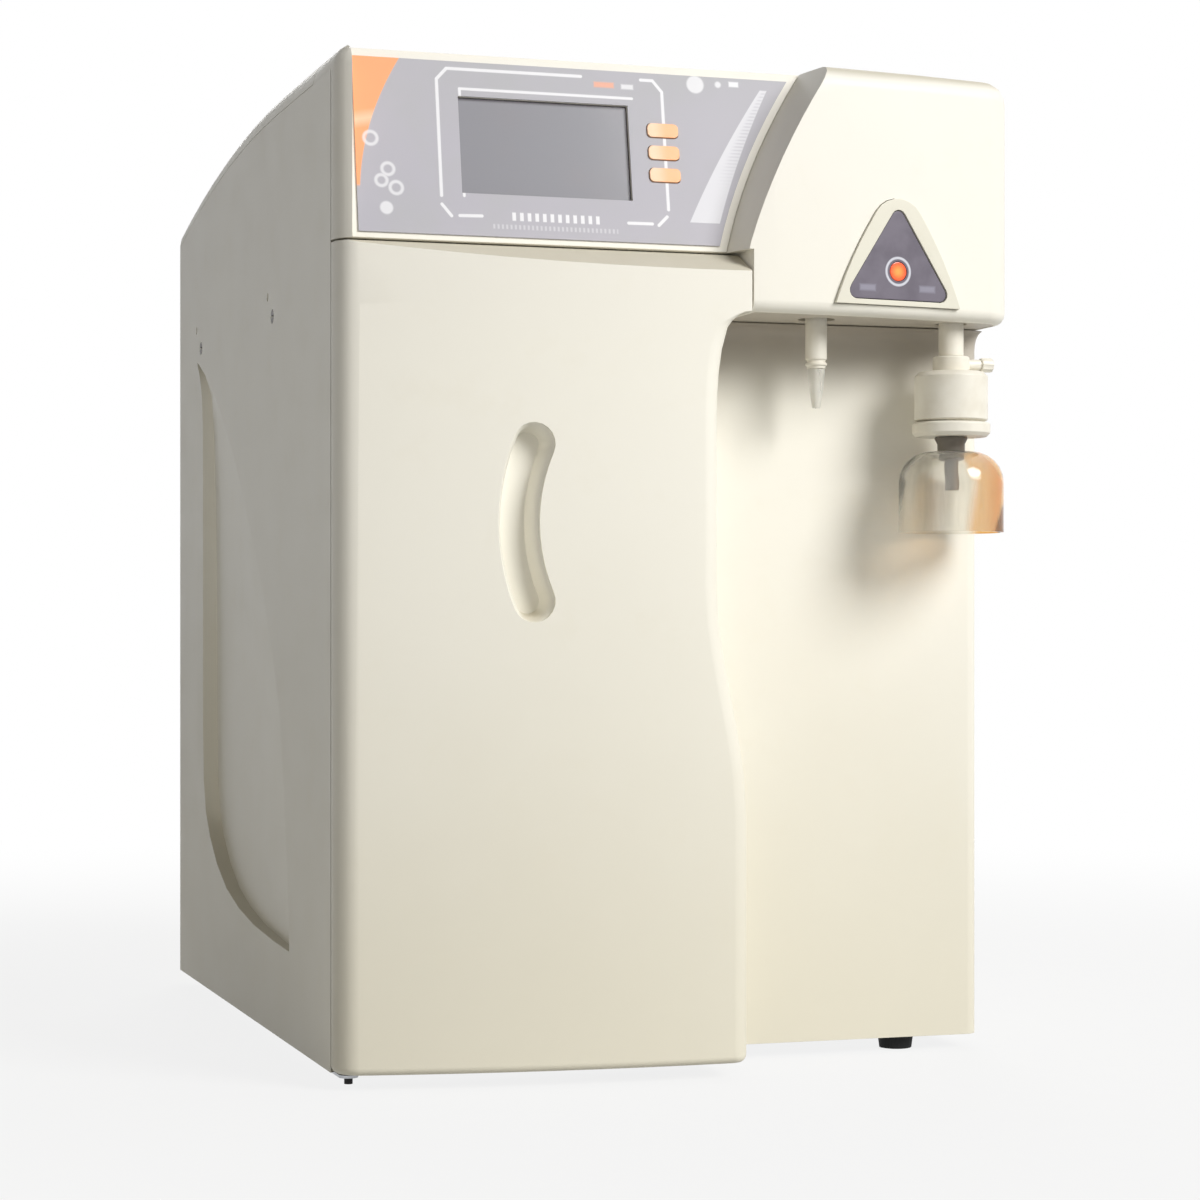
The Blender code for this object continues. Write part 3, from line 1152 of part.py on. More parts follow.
def build_side_panels():
    for side, origin_x, sign in (("left", 0, 1), ("right", CASE_WIDTH, -1)):
        def place(depth, spot):
            return Vector((origin_x + sign * depth, spot[0], spot[1]))

        front = FRONT_RETURN_Y + SEAM if side == "left" else FRONT_SEAM_Y + SEAM
        bevel = SIDE_EDGE_BEVEL if side == "left" else 0
        top = [(y, top_z(y) - SIDE_SEAM_DROP) for y in spread(TOP_FALL_START, CASE_DEPTH, BOW_STEPS)]
        rings = []
        for depth, start in ((0, front), (SHELL_WALL, front + bevel)):
            outline = [(start, 0), (CASE_DEPTH, 0)] + top[::-1] + [(start, CASE_HEIGHT - SIDE_SEAM_DROP)]
            rings.append([place(depth, spot) for spot in outline])
        panel = loft(side + "_side_panel", rings)
        join(panel, scoop_body("blister", place, SHELL_WALL, SCOOP_BORDER))
        cut(panel, scoop_body("scoop", place, 0, 0))
        for y_share, z_share in HOLE_PLACE_SHARES:
            centre = place(0, (y_share * CASE_DEPTH, z_share * CASE_HEIGHT))
            hole = [(0, -HOLE_DEPTH), (HOLE_RADIUS, -HOLE_DEPTH),
                    (HOLE_RADIUS, HOLE_DEPTH), (0, HOLE_DEPTH)]
            cut(panel, turned("hole", hole, centre, axis="X", sides=SMALL_SIDES))
        for row, (y_share, z_share) in zip(("front", "rear"), SCREW_PLACE_SHARES):
            centre = place(0, (y_share * CASE_DEPTH, z_share * CASE_HEIGHT))
            cut(panel, build_screw("seat", centre, sign, GAP, OVERRUN))
            screw = build_screw(side + "_" + row + "_screw", centre, sign, 0, 0)
            slot = SCREW_SLOT / 2
            low = place(-OVERRUN, (centre.y - SCREW_RADIUS * 2, centre.z - slot))
            high = place(SCREW_SLOT, (centre.y + SCREW_RADIUS * 2, centre.z + slot))
            ends = [sorted(pair) for pair in zip(low, high)]
            cut(screw, block("slot", [pair[0] for pair in ends], [pair[1] for pair in ends]))
            finish(screw, "steel")
        finish(panel, "ivory_shell")


def build_screw(name, centre, sign, grown, outside):
    # Countersunk head flush with the panel, shank through it
    head, shank = SCREW_RADIUS + grown, SCREW_SHANK_RADIUS + grown
    profile = [(0, -outside), (head, -outside), (head, GAP), (shank, SCREW_HEAD + GAP)]
    profile += [(shank, SCREW_LENGTH + outside), (0, SCREW_LENGTH + outside)]
    if not outside:
        profile[0:3] = [(0, 0), (head - GAP, 0), (head, GAP)]
    profile = [(radius, sign * height) for radius, height in profile]
    return turned(name, profile, centre, axis="X", sides=SMALL_SIDES)


def build_top_cover():
    def ring(y, inset, drop):
        height = top_z(y)
        radius = TOP_EDGE_RADIUS - inset
        left = (TOP_EDGE_RADIUS, height - TOP_EDGE_RADIUS)
        right = (CASE_WIDTH - TOP_EDGE_RADIUS, height - TOP_EDGE_RADIUS)
        run = [(inset, height - drop)]
        run += arc(left, radius, math.pi, math.pi / 2, EDGE_STEPS)
        run += arc(right, radius, math.pi / 2, 0, EDGE_STEPS)
        run.append((CASE_WIDTH - inset, height - drop))
        return [in_front(x, z, y) for x, z in run]

    start = FRONT_SEAM_Y + SEAM
    ys = [start] + spread(TOP_FALL_START, CASE_DEPTH, BOW_STEPS)
    cover = loft("top_cover", [ring(y, 0, SIDE_SEAM_DROP - GAP) for y in ys])
    hollow_ys = [start - OVERRUN] + spread(TOP_FALL_START, CASE_DEPTH, BOW_STEPS)
    rings = [ring(y, SHELL_WALL, SIDE_SEAM_DROP + OVERRUN) for y in hollow_ys]
    rings.append([spot + Vector((0, OVERRUN, 0)) for spot in rings[-1]])
    cut(cover, loft("hollow", rings))
    finish(cover, "ivory_shell")


def build_tray_and_feet():
    left = SHELL_WALL + GAP
    right = CASE_WIDTH - left
    back = CASE_DEPTH - REAR_PANEL_INSET - GAP
    step_x = edge_x(0) - SHELL_WALL - GAP
    step_y = ALCOVE_Y + SHELL_WALL + GAP

    def outline(inset):
        corner = ALCOVE_CORNER_RADIUS
        return [(left + inset, TRAY_FRONT_Y + inset), (step_x - inset, TRAY_FRONT_Y + inset),
                (step_x - inset, step_y + inset), (right - corner, step_y + inset),
                (right - inset, step_y + corner), (right - inset, back - inset),
                (left + inset, back - inset)]

    tray = prism("base_tray", outline(0), in_plan, 0, TRAY_RIM)
    cut(tray, prism("inside", outline(SHEET), in_plan, SHEET, TRAY_RIM + OVERRUN))
    finish(tray, "steel")
    back_y = CASE_DEPTH - FOOT_BACK_INSET
    for row, y in (("front", FOOT_FRONT_Y), ("rear", back_y)):
        for side, x in (("left", FOOT_INSET_X), ("right", CASE_WIDTH - FOOT_INSET_X)):
            profile = [(0, -FOOT_HEIGHT), (FOOT_RADIUS - FOOT_FLARE, -FOOT_HEIGHT)]
            profile += [(FOOT_RADIUS, -GAP), (0, -GAP)]
            foot = turned("_".join((row, side, "foot")), profile, (x, y, 0))
            finish(foot, "black_rubber")


def build_rear():
    front = CASE_DEPTH - REAR_PANEL_INSET
    left = SHELL_WALL + GAP
    height = top_z(front) - SHELL_WALL * 1.5
    corners = rectangle(left, CASE_WIDTH - left, GAP, height)
    radii = [LEAST_RADIUS, LEAST_RADIUS, TOP_EDGE_RADIUS, TOP_EDGE_RADIUS]
    panel = prism("rear_panel", rounded(corners, radii, CORNER_STEPS), in_front, front, front + SHEET)
    half = VENT_SLOT_WIDTH / 2
    for step in range(VENT_SLOT_COUNT):
        z = VENT_SLOT_Z + step * VENT_SLOT_PITCH
        slot = rectangle(VENT_SLOT_X - half, VENT_SLOT_X + half, z, z + VENT_SLOT_HEIGHT)
        cut(panel, prism("slot", slot, in_front, front - OVERRUN, front + OVERRUN))
    for name, x in PORT_XS.items():
        hole = arc((x, PORT_Z), PORT_THREAD_RADIUS + GAP, 0, math.tau, SMALL_SIDES)[:-1]
        cut(panel, prism("hole", hole, in_front, front - OVERRUN, front + OVERRUN))
        build_port(name, x, front)
    build_power_module(panel, front)
    finish(panel, "steel")


def build_port(name, x, front):
    # Push-fit port: body behind the panel, thread through it, nut and collar outside
    inner, outer = front - GAP, front + SHEET + GAP
    end = CASE_DEPTH + PORT_REACH
    nut = outer + PORT_NUT
    start = inner - PORT_INNER
    bore_end = end - PORT_BORE_DEPTH
    profile = [
        (0, start), (PORT_THREAD_RADIUS, start), (PORT_THREAD_RADIUS, inner - PORT_NUT),
        (PORT_NUT_RADIUS, inner - PORT_NUT), (PORT_NUT_RADIUS, inner), (PORT_THREAD_RADIUS, inner),
        (PORT_THREAD_RADIUS, outer), (PORT_NUT_RADIUS, outer), (PORT_NUT_RADIUS, nut),
        (PORT_RADIUS, nut), (PORT_RADIUS, end - PORT_ROUND), (PORT_RADIUS - PORT_ROUND, end),
        (PORT_BORE_RADIUS, end), (PORT_BORE_RADIUS, bore_end), (0, bore_end),
    ]
    finish(turned(name, profile, (x, 0, PORT_Z), axis="Y", sides=SMALL_SIDES), "white_plastic")


def build_power_module(panel, front):
    # Mains inlet and rocker switch share one frame
    half_w, half_h = INLET_WIDTH / 2, INLET_HEIGHT / 2
    rocker_w, rocker_h = ROCKER_WIDTH / 2, ROCKER_HEIGHT / 2

    def outline(grown):
        return rounded_rectangle(ROCKER_X - rocker_w - ROCKER_FRAME_WALL - grown,
                                 INLET_X + half_w + grown, INLET_Z - half_h - grown,
                                 INLET_Z + half_h + grown, INLET_CORNER_RADIUS, KEY_STEPS)

    cut(panel, prism("opening", outline(GAP), in_front, front - OVERRUN, front + OVERRUN))
    seat = front + SHEET + GAP
    face = seat + INLET_FLANGE_THICKNESS
    body = prism("power_inlet", outline(0), in_front, face - INLET_DEPTH, seat + GAP)
    join(body, prism("flange", outline(INLET_FLANGE), in_front, seat, face))
    well_w, well_h = half_w - INLET_WALL, half_h - INLET_WALL
    well = rounded_rectangle(INLET_X - well_w, INLET_X + well_w, INLET_Z - well_h, INLET_Z + well_h,
                             INLET_CORNER_RADIUS, KEY_STEPS)
    gap_w, gap_h = rocker_w + ROCKER_CLEARANCE, rocker_h + ROCKER_CLEARANCE
    rocker_well = rectangle(ROCKER_X - gap_w, ROCKER_X + gap_w, INLET_Z - gap_h, INLET_Z + gap_h)
    floor = face - INLET_WELL
    cut(body, prism("well", well, in_front, floor, face + OVERRUN),
        prism("well", rocker_well, in_front, floor, face + OVERRUN))
    pins = [(-INLET_PIN_PITCH, -INLET_PIN_RISE / 2), (0, INLET_PIN_RISE / 2)]
    pins.append((INLET_PIN_PITCH, -INLET_PIN_RISE / 2))
    for x, z in pins:
        u, v = INLET_X + x, INLET_Z + z
        pin = rectangle(u - INLET_PIN_THICKNESS / 2, u + INLET_PIN_THICKNESS / 2,
                        v - INLET_PIN_WIDTH / 2, v + INLET_PIN_WIDTH / 2)
        join(body, prism("pin", pin, in_front, floor - INLET_WALL, floor + INLET_PIN_LENGTH))
    finish(body, "dark_plastic")

    # The rocker's face dips in the middle and its back is a half cylinder
    back = arc((0, 0), rocker_h - ROCKER_CLEARANCE, math.pi * 1.5, math.pi / 2, ROCKER_STEPS)
    points = back + [(ROCKER_PROUD, rocker_h), (ROCKER_PROUD / 3, 0), (ROCKER_PROUD, -rocker_h)]
    cosine, sine = math.cos(ROCKER_TILT), math.sin(ROCKER_TILT)
    outline = [(face + y * cosine - z * sine, INLET_Z + y * sine + z * cosine) for y, z in points]
    rocker = prism("power_rocker", outline, in_side, ROCKER_X - rocker_w, ROCKER_X + rocker_w)
    set_origin(finish(rocker, "black_rubber"), (ROCKER_X, face, INLET_Z))


def build_cartridges():
    front = PARTITION_Y
    left = SCOOP_DEPTH + SHELL_WALL + SEAM
    sheet = block("bay_partition", (left, front, SHEET + GAP),
                  (CASE_WIDTH - left, front + SHEET, PARTITION_TOP_Z))
    join(sheet, block("foot", (left, front + SHEET / 2, SHEET + GAP),
                      (CASE_WIDTH - left, front + PARTITION_FOOT_LENGTH, SHEET * 2 + GAP)))
    finish(sheet, "steel")

    xs = list(CARTRIDGE_XS.values())
    low_x = xs[0] - CARTRIDGE_RADIUS
    high_x = xs[1] + CARTRIDGE_RADIUS
    rest_foot = SHEET + GAP
    half_rest = CARTRIDGE_RADIUS + REST_WALL
    rest = block("cartridge_rest", (low_x - REST_WALL, CARTRIDGE_Y - half_rest, rest_foot),
                 (high_x + REST_WALL, CARTRIDGE_Y + half_rest, REST_HEIGHT))
    floor = REST_HEIGHT - REST_LIP
    socket_z = CARTRIDGE_TOP_Z + CARTRIDGE_CAP
    back = front - GAP
    head = block("cartridge_head", (xs[0] - HEAD_BLOCK_MARGIN, back - HEAD_BLOCK_DEPTH, socket_z + GAP),
                 (xs[1] + HEAD_BLOCK_MARGIN, back, socket_z + HEAD_BLOCK_HEIGHT))
    for name, x in CARTRIDGE_XS.items():
        centre = (x, CARTRIDGE_Y, 0)
        well = CARTRIDGE_RADIUS + SEAM
        cut(rest, turned("well", [(0, floor), (well, floor), (well, REST_HEIGHT + OVERRUN),
                                  (0, REST_HEIGHT + OVERRUN)], centre))
        neck_top = socket_z + HEAD_BLOCK_SOCKET
        socket = CARTRIDGE_NECK_RADIUS + GAP
        cut(head, turned("socket", [(0, socket_z - OVERRUN), (socket, socket_z - OVERRUN),
                                    (socket, neck_top + GAP), (0, neck_top + GAP)], centre))
        cap = CARTRIDGE_RADIUS - CARTRIDGE_CAP_STEP
        profile = [
            (0, floor + GAP), (cap, floor + GAP), (CARTRIDGE_RADIUS, floor + GAP + CARTRIDGE_CAP_STEP),
            (CARTRIDGE_RADIUS, floor + CARTRIDGE_CAP), (cap, floor + CARTRIDGE_CAP + CARTRIDGE_CAP_STEP),
            (cap, CARTRIDGE_TOP_Z - CARTRIDGE_CAP_STEP), (CARTRIDGE_RADIUS, CARTRIDGE_TOP_Z),
            (CARTRIDGE_RADIUS, socket_z - CARTRIDGE_CAP_STEP), (cap, socket_z),
            (CARTRIDGE_NECK_RADIUS, socket_z), (CARTRIDGE_NECK_RADIUS, neck_top), (0, neck_top),
        ]
        finish(turned(name, profile, centre), "white_plastic")
    finish(rest, "dark_plastic")
    finish(head, "dark_plastic")


def build_housings():
    foot = SHEET + GAP
    top = foot + OSMOSIS_HEIGHT
    profile = [(0, foot), (OSMOSIS_CAP_RADIUS, foot), (OSMOSIS_CAP_RADIUS, foot + OSMOSIS_CAP),
               (OSMOSIS_RADIUS, foot + OSMOSIS_CAP), (OSMOSIS_RADIUS, top - OSMOSIS_CAP),
               (OSMOSIS_CAP_RADIUS, top - OSMOSIS_CAP), (OSMOSIS_CAP_RADIUS, top), (0, top)]
    finish(turned("osmosis_housing", profile, (OSMOSIS_X, OSMOSIS_Y, 0)), "white_plastic")

    top = foot + LAMP_TUBE_HEIGHT
    profile = [(0, foot), (LAMP_CAP_RADIUS, foot), (LAMP_CAP_RADIUS, foot + LAMP_TUBE_CAP),
               (LAMP_TUBE_RADIUS, foot + LAMP_TUBE_CAP), (LAMP_TUBE_RADIUS, top - LAMP_TUBE_CAP),
               (LAMP_CAP_RADIUS, top - LAMP_TUBE_CAP), (LAMP_CAP_RADIUS, top), (0, top)]
    finish(turned("ultraviolet_housing", profile, (LAMP_TUBE_X, LAMP_TUBE_Y, 0)), "steel")


def build_pump_and_supply():
    # Motor and pump head share one axis; the head carries the port, the motor the foot
    foot = SHEET + GAP
    axis_z = foot + PUMP_RADIUS + SHEET
    start = PUMP_X - PUMP_LENGTH / 2
    middle = PUMP_X + PUMP_LENGTH / 2
    end = middle + PUMP_HEAD_LENGTH
    profile = [(0, start), (PUMP_HEAD_RADIUS, start), (PUMP_RADIUS, start + PUMP_PORT),
               (PUMP_RADIUS, middle), (PUMP_HEAD_RADIUS, middle), (PUMP_HEAD_RADIUS, end - PUMP_PORT),
               (PUMP_PORT_RADIUS, end), (0, end)]
    pump = turned("booster_pump", profile, (0, PUMP_Y, axis_z), axis="X")
    half = PUMP_FOOT_WIDTH / 2
    stand = block("stand", (start + 2 * PUMP_PORT, PUMP_Y - half, foot),
                  (middle - PUMP_PORT, PUMP_Y + half, axis_z - PUMP_RADIUS / 2))
    port_top = axis_z + PUMP_HEAD_RADIUS + PUMP_PORT
    port = [(0, axis_z + PUMP_RADIUS / 2), (PUMP_PORT_RADIUS, axis_z + PUMP_RADIUS / 2)]
    port += [(PUMP_PORT_RADIUS, port_top), (0, port_top)]
    port_x = (middle + end) / 2
    join(pump, stand, turned("port", port, (port_x, PUMP_Y, 0), sides=SMALL_SIDES))
    finish(pump, "dark_plastic")

    # The power supply is fixed to the inside of the rear panel
    back = CASE_DEPTH - REAR_PANEL_INSET - GAP
    right = CASE_WIDTH - SUPPLY_INSET
    outline = rounded_rectangle(right - SUPPLY_WIDTH, right, SUPPLY_Z, SUPPLY_Z + SUPPLY_HEIGHT,
                                SUPPLY_ROUND, KEY_STEPS)
    finish(prism("power_supply", outline, in_front, back - SUPPLY_DEPTH, back), "steel")


def build_dispense_valve():
    # The valve sits over the filter stem and takes it in its bore
    foot = HEAD_BOTTOM_Z + LIP_HEIGHT + GAP
    half_w, half_d = VALVE_WIDTH / 2, VALVE_DEPTH / 2
    seat = foot + COLLAR_HEIGHT + GAP
    valve = block("dispense_valve", (FILTER_X - half_w, OUTLET_Y - half_d + SHEET, foot),
                  (FILTER_X + half_w, OUTLET_Y + half_d + SHEET, seat + VALVE_BODY))
    coil = VALVE_COIL_WIDTH / 2
    join(valve, block("coil", (FILTER_X - coil, OUTLET_Y - coil, seat),
                      (FILTER_X + coil, OUTLET_Y + coil, seat + VALVE_BODY + VALVE_COIL)))
    socket = FILTER_STEM_RADIUS + GAP
    cut(valve, turned("socket", [(0, foot - OVERRUN), (socket, foot - OVERRUN), (socket, seat), (0, seat)],
                      (FILTER_X, OUTLET_Y, 0)))
    finish(valve, "dark_plastic")
    return (FILTER_X, OUTLET_Y + half_d + SHEET + GAP, seat + VALVE_BODY / 2)


def smooth_route(route):
    # Cuts the corners of the route a few times, and keeps its ends and their directions
    points = [Vector(spot) for spot in route]
    for _ in range(TUBE_BEND_ROUNDS):
        inner = []
        for here, after in zip(points, points[1:]):
            inner += [here.lerp(after, CORNER_CUT_SHARE), after.lerp(here, CORNER_CUT_SHARE)]
        points = [points[0]] + inner[1:-1] + [points[-1]]
    return points


def build_tube(name, route):
    points = smooth_route(route)
    ways = [after - before for before, after in zip(points, points[2:])]
    ways = [Vector(route[1]) - Vector(route[0])] + ways + [Vector(route[-1]) - Vector(route[-2])]
    side = ways[0].orthogonal()
    rings = []
    for point, way in zip(points, ways):
        along = way.normalized()
        side = (side - along * side.dot(along)).normalized()
        across = along.cross(side)
        spots = arc((0, 0), TUBE_RADIUS, 0, math.tau, TUBE_SIDES)[:-1]
        rings.append([point + side * u + across * v for u, v in spots])
    finish(loft(name, rings), "blue_tube")


def build_tubes(valve_port):
    lift = OVERRUN * 2
    head_z = CARTRIDGE_TOP_Z + CARTRIDGE_CAP + HEAD_BLOCK_HEIGHT / 2
    side_x = CARTRIDGE_XS["polishing_cartridge"] + HEAD_BLOCK_MARGIN + GAP
    side_y = PARTITION_Y - HEAD_BLOCK_DEPTH / 2
    stem_top = HEAD_BOTTOM_Z + LIP_HEIGHT + COLLAR_HEIGHT + STEM_FLANGE + BARB_HEIGHT + 2 * GAP
    build_tube("pure_tube", [
        (side_x, side_y + OVERRUN, head_z), (side_x + OVERRUN, side_y + OVERRUN, head_z),
        (PURE_X, OUTLET_Y + lift, stem_top + lift), (PURE_X, OUTLET_Y, stem_top + OVERRUN),
        (PURE_X, OUTLET_Y, stem_top + TUBE_RADIUS), (PURE_X, OUTLET_Y, stem_top),
    ])
    build_tube("filter_tube", [
        (side_x, side_y - OVERRUN / 2, head_z), (side_x + OVERRUN, side_y - OVERRUN / 2, head_z),
        (PURE_X + OVERRUN, side_y, head_z + lift), (valve_port[0], valve_port[1] + OVERRUN, valve_port[2]),
        valve_port,
    ])


def main():
    for old in list(bpy.data.objects):
        bpy.data.objects.remove(old)
    build_door()
    build_hinge()
    build_catch()
    build_alcove()
    build_fascia()
    build_dispense_button()
    build_control_panel()
    build_outlet_plate()
    build_pure_outlet()
    build_filter_outlet()
    build_side_panels()
    build_top_cover()
    build_tray_and_feet()
    build_rear()
    build_cartridges()
    build_housings()
    build_pump_and_supply()
    build_tubes(build_dispense_valve())

    middle_y = (CASE_DEPTH + PORT_REACH - BOW) / 2
    for piece in bpy.context.scene.objects:
        piece.location += Vector((-CASE_WIDTH / 2, -middle_y, FOOT_HEIGHT))


main()
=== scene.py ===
import math

import bmesh
import bpy
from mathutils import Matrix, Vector


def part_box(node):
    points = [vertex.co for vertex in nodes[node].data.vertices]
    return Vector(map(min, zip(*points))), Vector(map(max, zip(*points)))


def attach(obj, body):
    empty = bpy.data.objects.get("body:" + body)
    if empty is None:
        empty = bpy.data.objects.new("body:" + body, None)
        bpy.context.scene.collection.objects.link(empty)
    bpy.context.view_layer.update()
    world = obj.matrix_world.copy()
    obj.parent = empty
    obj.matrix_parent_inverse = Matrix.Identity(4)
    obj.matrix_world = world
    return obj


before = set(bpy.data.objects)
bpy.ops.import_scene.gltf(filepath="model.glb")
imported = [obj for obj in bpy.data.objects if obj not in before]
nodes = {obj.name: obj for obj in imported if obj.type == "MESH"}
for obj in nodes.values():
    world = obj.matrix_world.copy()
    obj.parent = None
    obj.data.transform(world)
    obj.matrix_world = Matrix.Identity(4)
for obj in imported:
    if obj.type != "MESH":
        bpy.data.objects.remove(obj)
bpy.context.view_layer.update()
print("frame loaded:", len(nodes), "nodes")

perMetre = 1000
mm = 1 / perMetre
white = (1, 1, 1, 1)

# Where the casing's front left lower corner lies, and the height of its top, in millimetres
casing = {"left": -187.5, "front": -233.5, "foot": 8.0, "high": 531.0}


def linear(red, green, blue):
    # A display colour from 0 to 255 as the linear one that sockets take
    tone = [(level / 255 / 12.92) if level <= 10 else ((level / 255 + 0.055) / 1.055) ** 2.4
            for level in (red, green, blue)]
    return tone + [1.0]


class Flow:
    # One socket of a node tree, so that sums on it add Math nodes
    def __init__(self, graph, socket):
        self.graph = graph
        self.socket = socket

    def maths(self, operation, *values):
        return self.graph.node("ShaderNodeMath", {"operation": operation}, dict(enumerate(values)))

    def __add__(self, other):
        return self.maths("ADD", self, other)

    def __radd__(self, other):
        return self.maths("ADD", other, self)

    def __sub__(self, other):
        return self.maths("SUBTRACT", self, other)

    def __rsub__(self, other):
        return self.maths("SUBTRACT", other, self)

    def __mul__(self, other):
        return self.maths("MULTIPLY", self, other)

    def __rmul__(self, other):
        return self.maths("MULTIPLY", other, self)

    def __truediv__(self, other):
        return self.maths("DIVIDE", self, other)

    def __pow__(self, other):
        return self.maths("POWER", self, other)

    def least(self, other):
        return self.maths("MINIMUM", self, other)

    def most(self, other):
        return self.maths("MAXIMUM", self, other)

    def size(self):
        return self.maths("ABSOLUTE", self)

    def part(self):
        return self.maths("FRACT", self)

    def angle(self, across):
        # The angle of the point that lies this far up and the other far across
        return self.maths("ARCTAN2", self, across)

    def within(self):
        return self.least(1).most(0)

    def ease(self, low, high):
        ends = {"Value": self, "From Min": low, "From Max": high}
        return self.graph.node("ShaderNodeMapRange", {"interpolation_type": "SMOOTHSTEP"}, ends)


class Graph:
    # A node tree, with one way to add a node of any kind
    def __init__(self, tree):
        self.tree = tree

    def node(self, kind, settings, sockets, outputs=0):
        made = self.tree.nodes.new(kind)
        for key, value in settings.items():
            setattr(made, key, value)
        for key, value in sockets.items():
            if isinstance(value, Flow):
                self.join(value, made.inputs[key])
            else:
                made.inputs[key].default_value = value
        if isinstance(outputs, tuple):
            return tuple(Flow(self, made.outputs[key]) for key in outputs)
        return Flow(self, made.outputs[outputs])

    def join(self, flow, socket):
        self.tree.links.new(flow.socket, socket)

    def seen(self):
        # 1 for the rays that show the white room, and 0 for those that light the part
        kinds = ("Is Camera Ray", "Is Glossy Ray", "Is Transmission Ray")
        camera, glossy, through = self.node("ShaderNodeLightPath", {}, {}, kinds)
        return (camera + glossy + through).within()


class Recipe(Graph):
    # A material's nodes, and the shader that they feed
    def __init__(self, name, **constants):
        self.material = bpy.data.materials.new(name)
        self.material.use_nodes = True
        super().__init__(self.material.node_tree)
        self.shader = self.tree.nodes["Principled BSDF"]
        for socket, value in constants.items():
            self.shader.inputs[socket.replace("_", " ")].default_value = value

    def place(self):
        return self.node("ShaderNodeTexCoord", {}, {}, "Object")

    def parts(self, vector):
        return self.node("ShaderNodeSeparateXYZ", {}, {0: vector}, (0, 1, 2))

    def noise(self, vector, scale, detail=2.0, roughness=0.5, stretch=None):
        if stretch:
            vector = self.node("ShaderNodeVectorMath", {"operation": "MULTIPLY"}, {0: vector, 1: stretch})
        sockets = {"Vector": vector, "Scale": scale, "Detail": detail, "Roughness": roughness}
        return self.node("ShaderNodeTexNoise", {}, sockets)

    def mixed(self, factor, low, high):
        return self.node("ShaderNodeMix", {"data_type": "RGBA"}, {0: factor, 6: low, 7: high}, 2)

    def bump(self, height, distance, strength, **under):
        sockets = {"Strength": strength, "Distance": distance, "Height": height}
        return self.node("ShaderNodeBump", {}, sockets | under)

    def feed(self, **flows):
        for socket, flow in flows.items():
            self.join(flow, self.shader.inputs[socket.replace("_", " ")])
        return self.material


def around(middle, *spreads):
    # A value that each noise spreads about its middle, by the share beside it
    for flow, share in spreads:
        middle = middle + (flow - 0.5) * share
    return middle


def boxMask(u, v, low, high, soft=0.3):
    # 1 inside an upright box of the plane u, v and 0 outside it
    middle = [(a + b) / 2 for a, b in zip(low, high)]
    half = [(b - a) / 2 for a, b in zip(low, high)]
    away = ((u - middle[0]).size() - half[0]).most((v - middle[1]).size() - half[1])
    return (0.5 - away / soft).within()


def bandMask(rise, low, high, soft):
    # 1 between two heights and 0 outside them
    away = (rise - (low + high) / 2).size() - (high - low) / 2
    return (0.5 - away / soft).within()


def reach(u, v, centre):
    return ((u - centre[0]) ** 2 + (v - centre[1]) ** 2) ** 0.5


def discMask(u, v, centre, radius, soft):
    return (0.5 - (reach(u, v, centre) - radius) / soft).within()


def ringMask(u, v, centre, radius, width, soft):
    away = (reach(u, v, centre) - radius).size()
    return (0.5 - (away - width / 2) / soft).within()


def strokeMask(u, v, points, width, soft=0.4):
    # A line of the given width along the points
    total = None
    for (fromU, fromV), (toU, toV) in zip(points, points[1:]):
        runU, runV = toU - fromU, toV - fromV
        overU, overV = u - fromU, v - fromV
        along = ((overU * runU + overV * runV) / (runU ** 2 + runV ** 2)).within()
        away = ((overU - along * runU) ** 2 + (overV - along * runV) ** 2) ** 0.5
        mask = (0.5 - (away - width / 2) / soft).within()
        total = mask if total is None else total.most(mask)
    return total


def bowedEdge(v, start, low, slope, middle, bend):
    # How far across a bowed edge lies at each height v: its start, slope and bend
    return start + (v - low) * slope + (v - low) * (v - middle) * bend


# Ivory shell plastic: darker and warmer at the foot (its own tone and painted shade), a little darker at the
# head (painted shade), and with painted shade on what faces up
shell = {
    "footColour": (229, 224, 207), "middleColour": (243, 240, 229), "headColour": (240, 237, 228),
    "wornColour": (230, 223, 202), "upFacingShadeColour": (208, 202, 184), "upFacingShade": 0.9, "worn": 0.12, "specks": 0.1,
    "grain": 1500, "grainDepth": 0.00003, "wave": 9, "waveDepth": 0.0005, "cloud": 38, "rough": 0.46,
}
# Painted shadow of the head on the alcove: its tone, and the heights above the foot where it comes in
alcovePaintedShadow = {"tone": (172, 164, 152), "low": 345, "high": 392}


